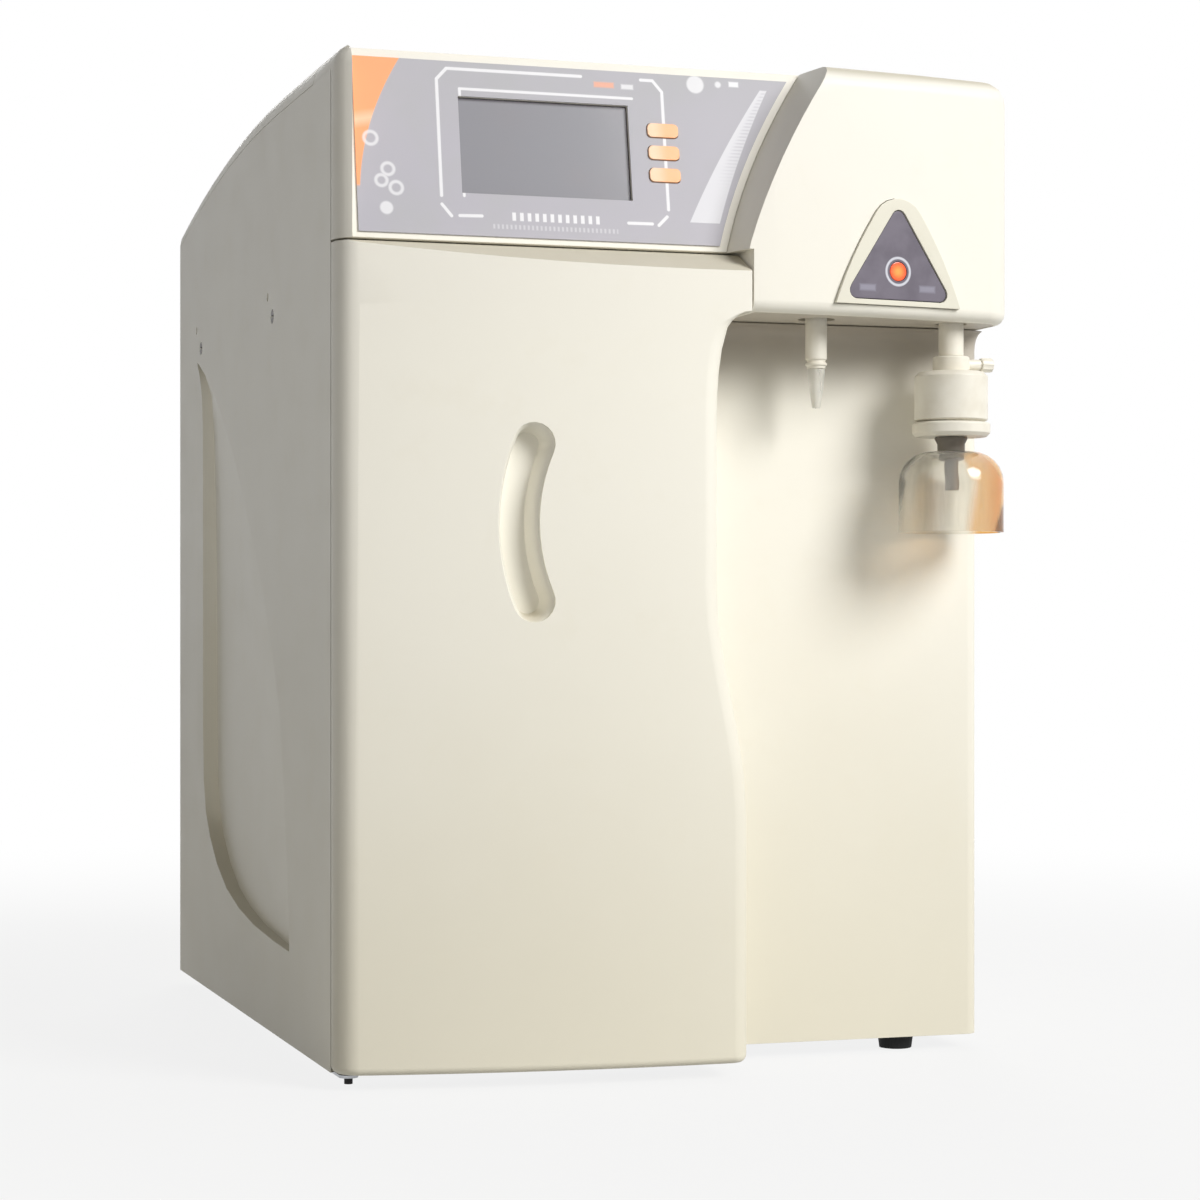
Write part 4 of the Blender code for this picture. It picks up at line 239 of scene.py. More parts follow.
def makeShell(name, shade=None):
    # A shade is a painted shadow: its tone, and the heights above the foot between which it comes in
    recipe = Recipe(name, Specular_IOR_Level=0.35)
    place = recipe.place()
    height = recipe.parts(place)[2]
    slow = recipe.noise(place, shell["wave"], 2)
    cloud = recipe.noise(place, shell["cloud"], 4, 0.6)
    grain = recipe.noise(place, shell["grain"], 2, 0.6)
    # Partly the plastic's own tone and partly painted shade: darker and warmer towards the foot, a touch
    # darker at the head
    rise = height / (casing["high"] * mm) + (slow - 0.5) * 0.2
    colour = recipe.mixed(rise.ease(0, 0.6), linear(*shell["footColour"]), linear(*shell["middleColour"]))
    colour = recipe.mixed(rise.ease(0.65, 1), colour, linear(*shell["headColour"]))
    worn = (cloud.ease(0.52, 0.8) * shell["worn"] + grain.ease(0.6, 0.75) * shell["specks"]).within()
    colour = recipe.mixed(worn, colour, linear(*shell["wornColour"]))
    # Painted shade on what faces up, with a faint cloud through it
    facing = recipe.node("ShaderNodeNewGeometry", {}, {}, "Normal")
    upward = recipe.parts(facing)[2].ease(0.45, 0.85)
    upFacingShade = upward * (cloud.ease(0.2, 0.7) * 0.1 + 0.9) * shell["upFacingShade"]
    colour = recipe.mixed(upFacingShade, colour, linear(*shell["upFacingShadeColour"]))
    # Painted shadow: the surface grows darker upwards between the two heights, where the head's shadow falls
    if shade:
        above = height - (casing["foot"] + shade["low"]) * mm + (slow - 0.5) * 0.01
        deep = above.ease(0, (shade["high"] - shade["low"]) * mm)
        colour = recipe.mixed(deep, colour, linear(*shade["tone"]))
    rough = around(shell["rough"], (cloud, 0.16), (grain, 0.1)) + upFacingShade * 0.15
    wave = recipe.bump(slow, shell["waveDepth"], 0.25)
    normal = recipe.bump(grain, shell["grainDepth"], 0.35, Normal=wave)
    return recipe.feed(Base_Color=colour, Roughness=rough, Normal=normal)


# Small mouldings share one recipe: a colour, its worn tone, the roughness, and the scale and depth of
# the grain
def makeMoulding(name, colour, worn, rough, grain=1400, depth=0.00003, spots=0.25, **constants):
    recipe = Recipe(name, **constants)
    place = recipe.place()
    cloud = recipe.noise(place, 60, 4, 0.6)
    fine = recipe.noise(place, grain, 2, 0.6)
    shade = (cloud.ease(0.45, 0.75) * spots + fine.ease(0.55, 0.75) * spots * 0.5).within()
    tone = recipe.mixed(shade, linear(*colour), linear(*worn))
    return recipe.feed(Base_Color=tone, Roughness=around(rough, (cloud, 0.2), (fine, 0.1)),
                       Normal=recipe.bump(fine, depth, 0.4))


# Plain finishes: two tones that a cloud mixes, under a fine grain. Each noise has its scale, detail
# and roughness, and spots say where the cloud starts, where it is full, and its share
fitting = {
    "colour": (238, 234, 222), "worn": (220, 213, 196), "cloud": (70, 3), "spots": (0.4, 0.75, 0.5),
    "fine": (1300, 2), "rough": 0.4, "fineSpread": 0.15, "cloudSpread": 0.1,
    "depth": 0.00003, "strength": 0.4,
}
rubber = {
    "colour": (26, 26, 27), "worn": (62, 60, 56), "cloud": (45, 4, 0.6), "spots": (0.5, 0.8, 0.5),
    "fine": (900, 4, 0.7), "rough": 0.72, "fineSpread": 0, "cloudSpread": 0.2,
    "depth": 0.0001, "strength": 0.5,
}
rearPaint = {
    "colour": (232, 228, 212), "worn": (219, 213, 192), "cloud": (9, 3, 0.6), "spots": (0.4, 0.75, 0.25),
    "fine": (380, 3, 0.6), "rough": 0.5, "fineSpread": 0.15, "cloudSpread": 0,
    "depth": 0.0001, "strength": 0.5,
}
tubing = {
    "colour": (92, 140, 196), "worn": (72, 120, 180), "cloud": (80, 3), "spots": (0.35, 0.7, 1),
    "fine": (700, 2), "rough": 0.3, "fineSpread": 0.15, "cloudSpread": 0,
    "depth": 0.0001, "strength": 0.3,
}


def makePlain(name, look, **constants):
    recipe = Recipe(name, **constants)
    place = recipe.place()
    cloud = recipe.noise(place, *look["cloud"])
    fine = recipe.noise(place, *look["fine"])
    low, high, share = look["spots"]
    colour = recipe.mixed(cloud.ease(low, high) * share, linear(*look["colour"]), linear(*look["worn"]))
    rough = around(look["rough"], (fine, look["fineSpread"]), (cloud, look["cloudSpread"]))
    return recipe.feed(Base_Color=colour, Roughness=rough,
                       Normal=recipe.bump(fine, look["depth"], look["strength"]))


# The label's print: places in millimetres on the tilted film, across it and up it. A bowed edge has
# its start, the height of that, its slope, its middle height and its bend. A row of blocks has its
# left end, right end, foot, top, pitch and share
label = {
    "tilt": 10, "foot": 423.5,
    "grey": (180, 180, 184), "pale": (182, 180, 189), "white": (238, 238, 242),
    "orange": (255, 172, 122), "wave": (255, 206, 172), "waveHeight": 62.5, "waveSlope": 0.2, "waveWidth": 5,
    "orangeEdge": (12.7, 27.8, 0.1517, 48.9, 0.003944), "orangeFoot": 27,
    "wedge": (222, 222, 228), "hatch": (204, 203, 211), "hatchPitch": 1.9, "hatchFoot": 30,
    "wedgeLeft": (189.1, 15.5, 0.5386, 56.9, 0.00142), "wedgeRight": (205.4, 14.7, 0.372, 57.4, 0.00135),
    "wedgeBox": ((180, 15.2), (250, 90.2)),
    "frame": (((75.9, 13.6), (64.2, 13.3)), ((59.8, 13), (55, 19)),
              ((55, 23.6), (55, 86), (60.5, 92), (133, 92)),
              ((166, 92), (172.5, 92), (177.4, 86), (177.4, 21.5)),
              ((176.4, 17.6), (171.6, 12.8)), ((168, 13.4), (155, 13.3))),
    "frameWidth": 1.7, "screen": ((67, 24), (67, 81.4), (160.5, 81.4)), "screenWidth": 1.5,
    "rings": ((19, 52.4, 3.4), (27.4, 36.4, 3.1), (23.8, 30.2, 2.9), (31.4, 26.6, 3.2)), "ringWidth": 1.7,
    "discs": ((25.9, 15.8, 3.4), (196.4, 91.3, 4.8), (209.2, 92, 1.7)),
    "tag": ((215.4, 91.2), (220.8, 94)), "paleDash": ((155, 86.4), (161.6, 89)),
    "orangeDash": ((140, 86.6), (151, 89.6)), "dash": (240, 176, 150),
    "blocks": ((91, 140, 11.8, 16.2, 4.1, 1.0), (81, 149, 7.2, 9.6, 2.3, 0.35)),
}


def filmPlane(recipe, place):
    # How far across the tilted film and how far up it a place is, in millimetres
    x, y, z = recipe.parts(place)
    lean = math.radians(label["tilt"])
    behind = y * perMetre - casing["front"]
    above = z * perMetre - (label["foot"] + casing["foot"])
    return x * perMetre - casing["left"], behind * math.sin(lean) + above * math.cos(lean)


def whitePrint(u, v):
    # White lines, rings and plain blocks stand where the maker's words would be
    lines = strokeMask(u, v, label["screen"], label["screenWidth"])
    for points in label["frame"]:
        lines = lines.most(strokeMask(u, v, points, label["frameWidth"]))
    for *centre, radius in label["rings"]:
        lines = lines.most(ringMask(u, v, centre, radius, label["ringWidth"], 0.9) * 0.75)
    for *centre, radius in label["discs"]:
        lines = lines.most(discMask(u, v, centre, radius, 1.0) * 0.85)
    lines = lines.most(boxMask(u, v, *label["tag"], 0.8)).most(boxMask(u, v, *label["paleDash"], 0.9) * 0.8)
    for low, high, foot, top, pitch, share in label["blocks"]:
        blocks = (0.5 - (((u - low) / pitch).part() - 0.5).size() / 0.5 + 0.33).ease(0.28, 0.42)
        lines = lines.most(boxMask(u, v, (low, foot), (high, top), 0.6) * blocks * share)
    return lines


def makeLabel():
    recipe = Recipe("greyPrintedFilm", Specular_IOR_Level=0.25)
    place = recipe.place()
    u, v = filmPlane(recipe, place)
    fine = recipe.noise(place, 1700, 2, 0.5)
    cloud = recipe.noise(place, 26, 3)
    greyer = (cloud.ease(0.4, 0.7) * 0.6 + (v / 60 - 0.9).within() * 0.5).within()
    colour = recipe.mixed(greyer, linear(*label["pale"]), linear(*label["grey"]))
    # The orange wedge narrows down the left edge, with a lighter wave across it
    orange = (0.5 - (u - bowedEdge(v, *label["orangeEdge"])) / 0.5).within()
    orange = orange * (v - label["orangeFoot"]).ease(-1, 1)
    rise = v - label["waveHeight"] - (u - 15) * label["waveSlope"]
    wave = (rise.size() / label["waveWidth"]).within()
    glow = recipe.mixed(wave, linear(*label["wave"]), linear(*label["orange"]))
    colour = recipe.mixed(orange, colour, glow)
    # The pale wedge follows the right edge, hatched towards its upper end
    right = bowedEdge(v, *label["wedgeRight"])
    left = bowedEdge(v, *label["wedgeLeft"])
    inside = (0.5 - (left - u) / 0.4).within() * (0.5 - (u - right) / 0.4).within()
    inside = inside * boxMask(u, v, *label["wedgeBox"])
    colour = recipe.mixed(inside, colour, linear(*label["wedge"]))
    teeth = (0.5 - (((v / label["hatchPitch"]).part() - 0.5).size() - 0.22) / 0.12).within()
    upper = (v - label["hatchFoot"]).ease(0, 30)
    teeth = teeth * inside * upper * ((u - left) / (right - left)).ease(0.25, 0.6)
    colour = recipe.mixed(teeth * 0.75, colour, linear(*label["hatch"]))
    lines = whitePrint(u, v)
    colour = recipe.mixed(lines * 0.92, colour, linear(*label["white"]))
    dash = boxMask(u, v, *label["orangeDash"], 0.9)
    colour = recipe.mixed(dash * 0.9, colour, linear(*label["dash"]))
    rough = around(0.42, (cloud, 0.1)) - lines * 0.08
    height = fine * 0.3 + lines.most(orange).most(inside) * 0.7
    return recipe.feed(Base_Color=colour, Roughness=rough, Normal=recipe.bump(height, 0.00004, 0.5))


# The display: a flat grey panel with a painted shadow along its top and right edges
display = {
    "right": 158, "top": 77.5, "grey": (142, 140, 146), "cool": (140, 140, 147), "dot": (132, 130, 138),
    "edge": (100, 96, 104), "shadowWidth": 1.6, "pitch": 0.45,
}


def makeDisplay():
    recipe = Recipe("greyDisplayGlass", Specular_IOR_Level=0.2, Coat_Weight=0.1, Coat_Roughness=0.08)
    place = recipe.place()
    u, v = filmPlane(recipe, place)
    cloud = recipe.noise(place, 24, 2)
    colour = recipe.mixed(cloud.ease(0.35, 0.65), linear(*display["grey"]), linear(*display["cool"]))
    column, row = [((flow / display["pitch"]).part() - 0.5).size() for flow in (u, v)]
    dots = column.most(row).ease(0.36, 0.5)
    colour = recipe.mixed(dots * 0.12, colour, linear(*display["dot"]))
    # Painted shadow of the recess along the top and right edges
    nearTop = (v - (display["top"] - display["shadowWidth"])).ease(-0.8, 0.6)
    nearRight = (u - (display["right"] - display["shadowWidth"])).ease(-0.8, 0.6)
    colour = recipe.mixed(nearTop.most(nearRight), colour, linear(*display["edge"]))
    return recipe.feed(Base_Color=colour, Roughness=around(0.24, (cloud, 0.1)) + dots * 0.05)


# Orange keys: lighter towards their left end
key = {"left": 170, "fade": 9, "pale": (252, 208, 174), "orange": (253, 182, 128), "patch": (255, 198, 142)}


def makeKey():
    recipe = Recipe("orangeKeyPlastic", Specular_IOR_Level=0.4, Coat_Weight=0.1)
    place = recipe.place()
    u = recipe.parts(place)[0] * perMetre - casing["left"]
    fine = recipe.noise(place, 1800, 2)
    cloud = recipe.noise(place, 120, 2)
    along = (u - key["left"]).ease(0, key["fade"])
    colour = recipe.mixed(along, linear(*key["pale"]), linear(*key["orange"]))
    colour = recipe.mixed((cloud - 0.3).within() * 0.3, colour, linear(*key["patch"]))
    return recipe.feed(Base_Color=colour, Roughness=around(0.45, (fine, 0.2)),
                       Normal=recipe.bump(fine, 0.00003, 0.5))


# The dispense button's plain marks: a pale ring round the lamp and two faint bars
button = {
    "middle": 300.5, "foot": 397.0, "yaw": 7.66, "lampHeight": 18.2, "ring": 7.2, "ringWidth": 1.3,
    "violet": (108, 102, 115), "dusk": (92, 86, 99), "pale": (214, 216, 226), "bar": (150, 148, 164),
    "bars": ((-18.7, 9.0, 9.5, 3.2), (18.0, 9.6, 9.5, 3.2)),
}


def makeButton():
    recipe = Recipe("violetButtonPlastic", Specular_IOR_Level=0.4)
    place = recipe.place()
    x, _, z = recipe.parts(place)
    across = (x * perMetre - (button["middle"] + casing["left"])) / math.cos(math.radians(button["yaw"]))
    up = z * perMetre - (button["foot"] + casing["foot"])
    fine = recipe.noise(place, 1500, 2, 0.6)
    cloud = recipe.noise(place, 70, 3)
    colour = recipe.mixed(cloud.ease(0.35, 0.7), linear(*button["violet"]), linear(*button["dusk"]))
    ring = ringMask(across, up, (0, button["lampHeight"]), button["ring"], button["ringWidth"], 0.5)
    colour = recipe.mixed(ring * 0.9, colour, linear(*button["pale"]))
    for middle, height, wide, tall in button["bars"]:
        low = (middle - wide / 2, height - tall / 2)
        high = (middle + wide / 2, height + tall / 2)
        colour = recipe.mixed(boxMask(across, up, low, high, 1.4) * 0.75, colour, linear(*button["bar"]))
    return recipe.feed(Base_Color=colour, Roughness=around(0.42, (fine, 0.14), (cloud, 0.1)),
                       Normal=recipe.bump(fine, 0.00004, 0.5))


# The lamp's lens: light at its heart, over a fine cell pattern
lens = {"heart": (255, 150, 60), "rim": (232, 74, 14), "reach": 5.2, "cells": 900.0}


def makeLamp():
    recipe = Recipe("orangeLampLens", Specular_IOR_Level=0.5, Coat_Weight=0.6, Coat_Roughness=0.05,
                    Emission_Strength=0.35)
    place = recipe.place()
    x, _, z = recipe.parts(place)
    across = x * perMetre - (button["middle"] + casing["left"])
    up = z * perMetre - (button["foot"] + casing["foot"] + button["lampHeight"])
    outward = ((across ** 2 + up ** 2) ** 0.5).ease(0, lens["reach"])
    cells = recipe.node("ShaderNodeTexVoronoi", {}, {"Vector": place, "Scale": lens["cells"]})
    colour = recipe.mixed(outward, linear(*lens["heart"]), linear(*lens["rim"]))
    return recipe.feed(Base_Color=colour, Emission_Color=colour, Roughness=0.18 + cells * 0.1,
                       Normal=recipe.bump(cells, 0.0001, 0.4))


# The bell is clear, with faint mould streaks. Its right carries a painted amber glow of light running through
# the thick wall, between these angles, in radians
bell = {
    "across": 344.0, "deep": 14.0, "clear": (247, 246, 241), "streak": (216, 214, 205),
    "amberGlow": (241, 182, 88), "glowStart": (-1.4, -0.65), "glowEnd": (0.5, 0.85),
}


def makeBell():
    recipe = Recipe("clearBellPlastic", Transmission_Weight=0.92, IOR=1.47, Specular_IOR_Level=0.5)
    place = recipe.place()
    x, y, _ = recipe.parts(place)
    overX = x * perMetre - (bell["across"] + casing["left"])
    overY = y * perMetre - (bell["deep"] + casing["front"])
    turn = overY.angle(overX)
    streak = recipe.noise(place, 160, 3, 0.6, (1.0, 1.0, 0.08))
    # Painted amber glow of light through the wall on the right
    amberGlow = turn.ease(*bell["glowStart"]) * (1 - turn.ease(*bell["glowEnd"]))
    colour = recipe.mixed(streak.ease(0.45, 0.7) * 0.35, linear(*bell["clear"]), linear(*bell["streak"]))
    colour = recipe.mixed(amberGlow * 0.95, colour, linear(*bell["amberGlow"]))
    return recipe.feed(Base_Color=colour, Roughness=0.04 + streak.ease(0.5, 0.8) * 0.1,
                       Normal=recipe.bump(streak, 0.0002, 0.25))


tip = {"clear": (250, 249, 243), "cloudy": (236, 233, 224)}


def makeTip():
    recipe = Recipe("clearTipPlastic", Transmission_Weight=0.6, IOR=1.4)
    place = recipe.place()
    cloud = recipe.noise(place, 90, 3)
    streak = recipe.noise(place, 300, 2, 0.5, (1.0, 1.0, 0.1))
    colour = recipe.mixed(cloud.ease(0.3, 0.7) * 0.5, linear(*tip["clear"]), linear(*tip["cloudy"]))
    return recipe.feed(Base_Color=colour, Roughness=0.22 + streak * 0.14,
                       Normal=recipe.bump(streak, 0.0001, 0.3))


# Metal with fine lines that the brush stretches, and faint stains
def makeSteel(name, colour, brush, rough):
    recipe = Recipe(name, Metallic=1.0)
    place = recipe.place()
    lines = recipe.noise(place, 420, 3, 0.6, brush)
    cloud = recipe.noise(place, 14, 4, 0.6)
    darker = (lines.ease(0.35, 0.7) * 0.5 + cloud.ease(0.5, 0.8) * 0.4).within()
    tone = recipe.mixed(darker, linear(*colour), linear(*(level * 0.82 for level in colour)))
    return recipe.feed(Base_Color=tone, Roughness=around(rough, (lines, 0.25), (cloud, 0.15)),
                       Normal=recipe.bump(lines, 0.00004, 0.4))


# Cartridges: a white shell with a plain coloured band and a thin line, placed as shares of the height
cartridge = {"band": (0.42, 0.6), "line": (0.62, 0.635), "white": (240, 239, 233), "worn": (226, 222, 210)}


def makeCartridge(name, node, band):
    recipe = Recipe(name, Specular_IOR_Level=0.45)
    place = recipe.place()
    low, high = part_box(node)
    rise = (recipe.parts(place)[2] - low.z) / (high.z - low.z)
    cloud = recipe.noise(place, 40, 3)
    fine = recipe.noise(place, 1200, 2)
    stripes = bandMask(rise, *cartridge["band"], 0.004).most(bandMask(rise, *cartridge["line"], 0.004))
    colour = recipe.mixed(cloud.ease(0.4, 0.8) * 0.4, linear(*cartridge["white"]), linear(*cartridge["worn"]))
    colour = recipe.mixed(stripes, colour, linear(*band))
    return recipe.feed(Base_Color=colour, Roughness=around(0.36, (cloud, 0.15)),
                       Normal=recipe.bump(fine, 0.00003, 0.5))


board = {"mask": (24, 92, 60), "trace": (46, 128, 84), "pad": (196, 170, 104), "pitch": 2.2, "pads": 130.0}


def makeBoard():
    recipe = Recipe("greenCircuitBoard", Specular_IOR_Level=0.5)
    place = recipe.place()
    sockets = {"Vector": place, "Scale": board["pads"]}
    cells = recipe.node("ShaderNodeTexVoronoi", {"distance": "MANHATTAN"}, sockets)
    step = (recipe.parts(place)[0] * perMetre / board["pitch"]).part()
    traces = ((step - 0.5).size() - 0.4).ease(0, 0.06)
    pads = 1 - cells.ease(0.1, 0.2)
    colour = recipe.mixed(traces * 0.5, linear(*board["mask"]), linear(*board["trace"]))
    colour = recipe.mixed(pads, colour, linear(*board["pad"]))
    return recipe.feed(Base_Color=colour, Roughness=0.38 + pads * 0.1, Metallic=pads * 0.8,
                       Normal=recipe.bump(pads + traces * 0.4, 0.00015, 0.5))


finishes = {
    "ivory": makeShell("ivoryShellPlastic"),
    "alcove": makeShell("shadedAlcovePlastic", alcovePaintedShadow),
    # The outlet plate is ivory; its darker tone is painted shade under the head
    "plate": makeMoulding("shadedPlatePlastic", (196, 189, 176), (180, 172, 158), 0.5),
    "rim": makeMoulding("beigeRimPlastic", (226, 223, 208), (214, 209, 190), 0.42, Specular_IOR_Level=0.42),
    "film": makeLabel(),
    "display": makeDisplay(),
    "key": makeKey(),
    "button": makeButton(),
    "lamp": makeLamp(),
    "fitting": makePlain("whiteFittingPlastic", fitting, Specular_IOR_Level=0.45),
    "bell": makeBell(),
    "tip": makeTip(),
    "dark": makeMoulding("darkMouldedPlastic", (48, 48, 52), (74, 73, 75), 0.5, 900, 0.00006, 0.4),
    "collar": makeMoulding("greyCollarPlastic", (74, 69, 65), (96, 90, 84), 0.5),
    "nozzle": makeMoulding("taupeNozzlePlastic", (112, 105, 95), (134, 126, 114), 0.45),
    "rubber": makePlain("blackRubber", rubber, Specular_IOR_Level=0.3),
    "steel": makeSteel("brushedSheetSteel", (178, 180, 184), (0.04, 1.0, 1.0), 0.36),
    "screw": makeSteel("blackenedScrewSteel", (70, 68, 66), (1.0, 1.0, 1.0), 0.42),
    "rear": makePlain("ivoryRearPaint", rearPaint, Specular_IOR_Level=0.4),
    "housing": makeSteel("brightHousingMetal", (196, 198, 202), (1.0, 0.05, 1.0), 0.26),
    "board": makeBoard(),
    "tube": makePlain("blueTube", tubing, Specular_IOR_Level=0.5, Coat_Weight=0.3, Coat_Roughness=0.15),
    "pretreatment": makeCartridge("pretreatmentCartridgeShell", "pretreatment_cartridge", (96, 142, 190)),
    "polishing": makeCartridge("polishingCartridgeShell", "polishing_cartridge", (240, 160, 92)),
    "osmosis": makeMoulding("whiteHousingPlastic", (232, 232, 228), (214, 212, 204), 0.35),
}
print("finishes made:", len(finishes))

# What each node wears, and how far its hard edges are rounded, in millimetres
dressing = {
    "ivory": {"front_door": 0.9, "front_fascia": 0.9, "control_panel": 0.5, "left_side_panel": 0.9,
              "right_side_panel": 0.9, "top_cover": 0.9},
    "alcove": {"alcove_panel": 0.8},
    "plate": {"outlet_plate": 0.5},
    "rim": {"badge_rim": 0.5},
    "film": {"panel_film": 0},
    "display": {"display_window": 0.2},
    "key": {"upper_key": 0.35, "middle_key": 0.35, "lower_key": 0.35},
    "button": {"dispense_button": 0.5},
    "lamp": {"indicator_lamp": 0.3},
    "fitting": {"pure_outlet_stem": 0.3, "filter_stem": 0.3, "filter_collar": 0.3, "vent_cap": 0.3,
                "filter_capsule": 0.4, "capsule_base": 0.3, "feed_port": 0.3, "drain_port": 0.3},
    "bell": {"splash_bell": 0},
    "tip": {"pure_outlet_tip": 0},
    "nozzle": {"bell_neck": 0.3, "filter_nozzle": 0.3},
    "dark": {"display_module": 0.4, "dispense_switch": 0.4, "door_catch": 0.4, "power_inlet": 0.4,
             "cartridge_rest": 0.6, "cartridge_head": 0.8, "booster_pump": 0.6, "dispense_valve": 0.5},
    "collar": {"pure_outlet_collar": 0.3},
    "rubber": {"lower_hinge_pin": 0.2, "power_rocker": 0.3, "front_left_foot": 0.5,
               "front_right_foot": 0.5, "rear_left_foot": 0.5, "rear_right_foot": 0.5},
    "steel": {"hinge_plate": 0.3, "upper_hinge_pin": 0.2, "base_tray": 0.5, "bay_partition": 0.3},
    "screw": {"left_front_screw": 0.25, "left_rear_screw": 0.25, "right_front_screw": 0.25,
              "right_rear_screw": 0.25},
    "rear": {"rear_panel": 0.5},
    "housing": {"power_supply": 0.6, "ultraviolet_housing": 0.5},
    "board": {"control_board": 0.2},
    "tube": {"pure_tube": 0, "filter_tube": 0},
    "pretreatment": {"pretreatment_cartridge": 0.6},
    "polishing": {"polishing_cartridge": 0.6},
    "osmosis": {"osmosis_housing": 0.6},
}

# How edges are treated: lengths in millimetres, angles in degrees
edges = {"weld": 0.002, "segments": 2, "roundAbove": 38, "splitAbove": 40, "weight": 60}


def soften(piece, radius):
    # The mesh comes as loose triangles: join them, then round what is sharp
    for polygon in piece.data.polygons:
        polygon.use_smooth = True
    if piece.data.has_custom_normals:
        piece.data.attributes.remove(piece.data.attributes["custom_normal"])
    weld = piece.modifiers.new("joinTriangles", "WELD")
    weld.merge_threshold = edges["weld"] * mm
    if radius:
        bevel = piece.modifiers.new("roundEdges", "BEVEL")
        bevel.width = radius * mm
        bevel.segments = edges["segments"]
        bevel.limit_method = "ANGLE"
        bevel.angle_limit = math.radians(edges["roundAbove"])
        bevel.use_clamp_overlap = True
    split = piece.modifiers.new("keepSharp", "EDGE_SPLIT")
    split.split_angle = math.radians(edges["splitAbove"])
    split.use_edge_sharp = False
    even = piece.modifiers.new("evenShading", "WEIGHTED_NORMAL")
    even.weight = edges["weight"]


for finish, wearers in dressing.items():
    for name, radius in wearers.items():
        piece = nodes[name]
        piece.data.materials.clear()
        piece.data.materials.append(finishes[finish])
        soften(piece, radius)
bare = set(nodes) - {name for wearers in dressing.values() for name in wearers}
print("nodes dressed, without a finish:", sorted(bare))

# Button-head screws down both sides of the rear panel, in millimetres. Dome shares run from rim to flat
rearScrew = {"radius": 3.4, "rim": 0.4, "height": 1.9, "sunk": 0.3, "flat": 1.9, "socket": 1.2, "deep": 1.2,
             "dome": (0.35, 0.7), "inset": 12, "rows": 4, "steps": 24}


def screwProfile():
    # Radius and height of each ring, from the sunk rim over the dome into the hexagon socket
    radius, rim, height, flat = [rearScrew[part] for part in ("radius", "rim", "height", "flat")]
    rings = [(radius, -rearScrew["sunk"], False), (radius, rim, False)]
    for share in rearScrew["dome"]:
        rise = (height - rim) * math.sin(share * math.pi / 2)
        rings.append((radius + (flat - radius) * share, rim + rise, False))
    rings.append((flat, height, False))
    rings.append((rearScrew["socket"], height, True))
    rings.append((rearScrew["socket"], height - rearScrew["deep"], True))
    return rings


def makeScrew(name, place):
    work = bmesh.new()
    turns = [2 * math.pi * step / rearScrew["steps"] for step in range(rearScrew["steps"])]
    side = math.pi / 3
    rings = []
    for wide, high, hexagon in screwProfile():
        ring = []
        for turn in turns:
            far = wide / math.cos(turn % side - side / 2) if hexagon else wide
            ring.append(work.verts.new(Vector((far * math.cos(turn), high, far * math.sin(turn))) * mm))
        rings.append(ring)
    for lower, upper in zip(rings, rings[1:]):
        for step in range(len(turns)):
            work.faces.new((lower[step - 1], lower[step], upper[step], upper[step - 1]))
    work.faces.new(rings[0])
    work.faces.new(rings[-1])
    bmesh.ops.recalc_face_normals(work, faces=work.faces)
    mesh = bpy.data.meshes.new(name)
    work.to_mesh(mesh)
    work.free()
    mesh.materials.append(finishes["housing"])
    piece = bpy.data.objects.new(name, mesh)
    piece.location = place
    bpy.context.scene.collection.objects.link(piece)
    soften(piece, 0)
    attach(piece, "casing")


def makeRearScrews():
    low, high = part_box("rear_panel")
    inset = rearScrew["inset"] * mm
    for side, x in (("left", low.x + inset), ("right", high.x - inset)):
        for row in range(rearScrew["rows"]):
            z = low.z + inset + (high.z - low.z - 2 * inset) * row / (rearScrew["rows"] - 1)
            makeScrew("rear_screw_" + side + "_" + str(row + 1), Vector((x, high.y, z)))


makeRearScrews()
print("rear screws made")

# The room: a pale floor under white air, in metres. Near the part, the floor shows a share of white
room = {"floorSize": 14.0, "squares": 8, "floorTone": (192, 192, 190), "speckTone": (186, 186, 184),
        "nearShare": 0.84, "nearReach": 0.35, "farReach": 1.5, "airStrength": 0.09}


def makeFloor():
    work = bmesh.new()
    squares = room["squares"]
    bmesh.ops.create_grid(work, x_segments=squares, y_segments=squares, size=room["floorSize"] / 2)
    mesh = bpy.data.meshes.new("paleFloor")
    work.to_mesh(mesh)
    work.free()
    floor = bpy.data.objects.new("paleFloor", mesh)
    bpy.context.scene.collection.objects.link(floor)
    recipe = Recipe("paleFloorPaint", Roughness=0.9, Specular_IOR_Level=0.1)
    place = recipe.place()
    x, y, _ = recipe.parts(place)
    away = ((x ** 2 + y ** 2) ** 0.5).ease(room["nearReach"], room["farReach"])
    speckle = recipe.noise(place, 40, 3).ease(0.3, 0.7) * 0.3
    tone = recipe.mixed(speckle, linear(*room["floorTone"]), linear(*room["speckTone"]))
    recipe.feed(Base_Color=tone)
    share = recipe.seen() * (away * (1 - room["nearShare"]) + room["nearShare"])
    paint = Flow(recipe, recipe.shader.outputs[0])
    light = recipe.node("ShaderNodeEmission", {}, {"Color": white, "Strength": 1.0})
    both = recipe.node("ShaderNodeMixShader", {}, {0: share, 1: paint, 2: light})
    recipe.join(both, recipe.tree.nodes["Material Output"].inputs["Surface"])
    mesh.materials.append(recipe.material)


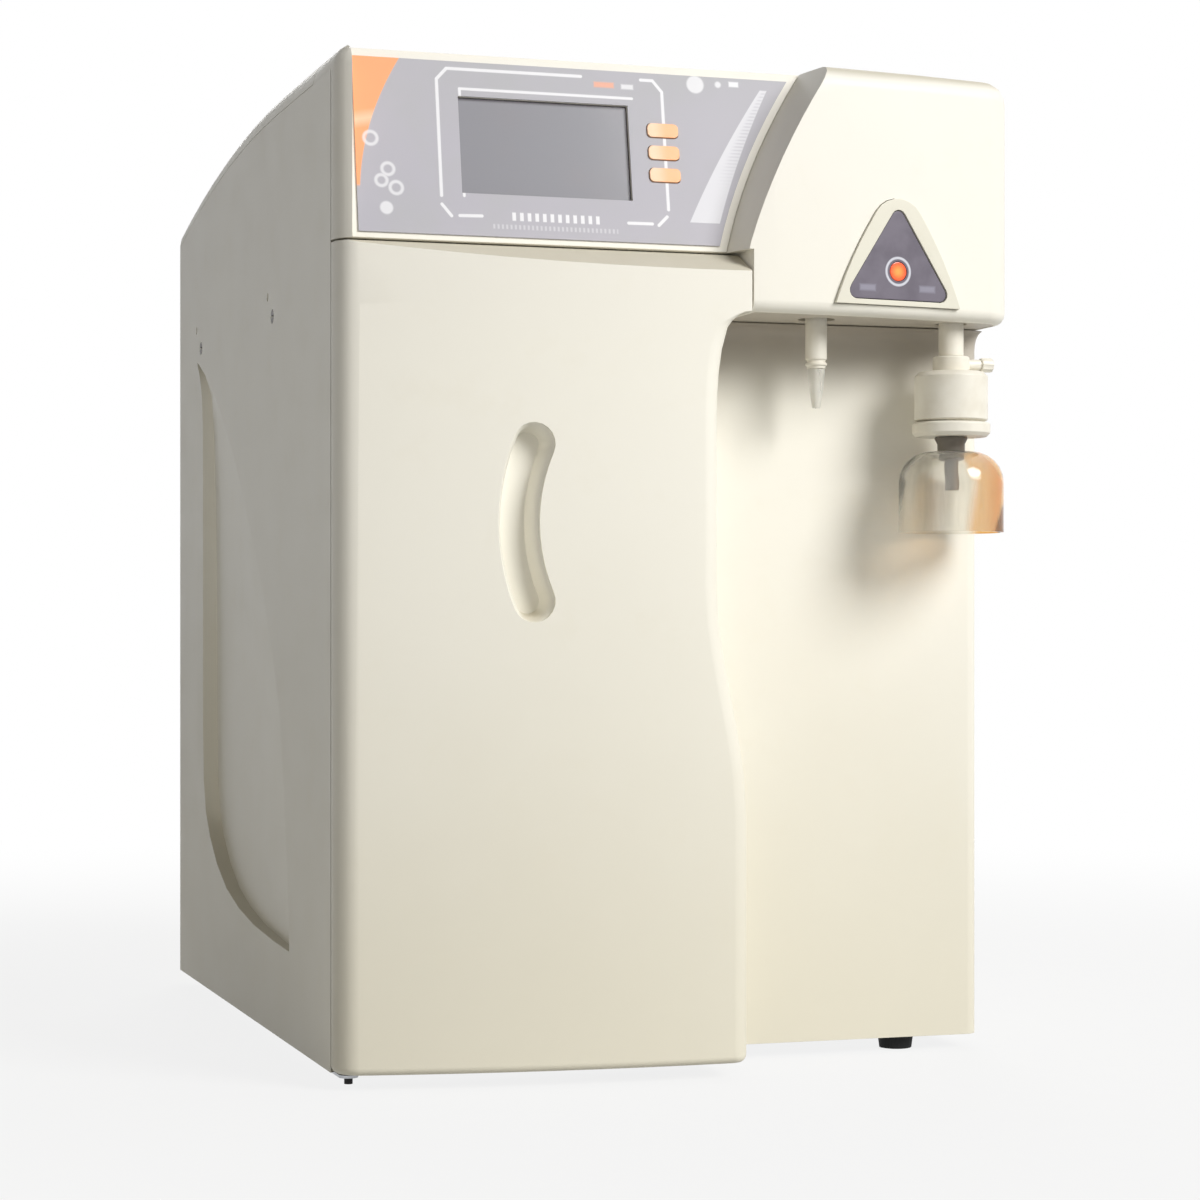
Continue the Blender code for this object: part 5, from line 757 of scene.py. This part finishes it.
def makeAir():
    air = bpy.data.worlds.new("whiteAir")
    bpy.context.scene.world = air
    air.use_nodes = True
    graph = Graph(air.node_tree)
    back = graph.tree.nodes["Background"]
    back.inputs["Color"].default_value = white
    strength = graph.seen() * (1 - room["airStrength"]) + room["airStrength"]
    graph.join(strength, back.inputs["Strength"])


# Studio lamps: where each stands, what it points at, its width and its power
lamps = {
    "keyLamp": {"place": (2.77, -3.91, 3.08), "aim": (0.0, -0.1, 0.25), "width": 2.8, "power": 292.0,
                "tint": (1.0, 0.99, 0.97)},
    "fillLamp": {"place": (-2.5, -2.7, 1.1), "aim": (0.0, -0.1, 0.25), "width": 2.2, "power": 14.0,
                 "tint": (1.0, 0.955, 0.88)},
    "backLamp": {"place": (0.9, 3.4, 2.0), "aim": (0.0, 0.1, 0.25), "width": 2.4, "power": 80.0,
                 "tint": (1.0, 1.0, 1.0)},
}


def makeLamps():
    for name, lamp in lamps.items():
        data = bpy.data.lights.new(name, "AREA")
        data.shape = "DISK"
        data.size = lamp["width"]
        data.energy = lamp["power"]
        data.color = lamp["tint"]
        stand = bpy.data.objects.new(name, data)
        stand.location = lamp["place"]
        ray = Vector(lamp["aim"]) - Vector(lamp["place"])
        stand.rotation_euler = ray.to_track_quat("-Z", "Y").to_euler()
        bpy.context.scene.collection.objects.link(stand)


# The camera stands low at the front left, as the photograph was taken, and looks level. Its lift moves
# the frame by 25 of the photograph's 1200 pixels
view = {"place": (-0.5035, -1.6545, 0.2357), "pitch": 90, "yaw": -17.75, "lens": 86.4, "sensor": 36.0,
        "lift": 25 / 1200}


def makeCamera():
    data = bpy.data.cameras.new("frontCamera")
    data.lens = view["lens"]
    data.sensor_width = view["sensor"]
    data.sensor_fit = "AUTO"
    data.shift_y = view["lift"]
    stand = bpy.data.objects.new("frontCamera", data)
    stand.location = view["place"]
    stand.rotation_euler = (math.radians(view["pitch"]), 0, math.radians(view["yaw"]))
    bpy.context.scene.collection.objects.link(stand)
    bpy.context.scene.camera = stand


makeFloor()
makeAir()
makeLamps()
makeCamera()
bpy.context.scene.view_settings.view_transform = "Standard"
print("room, lamps and camera set")
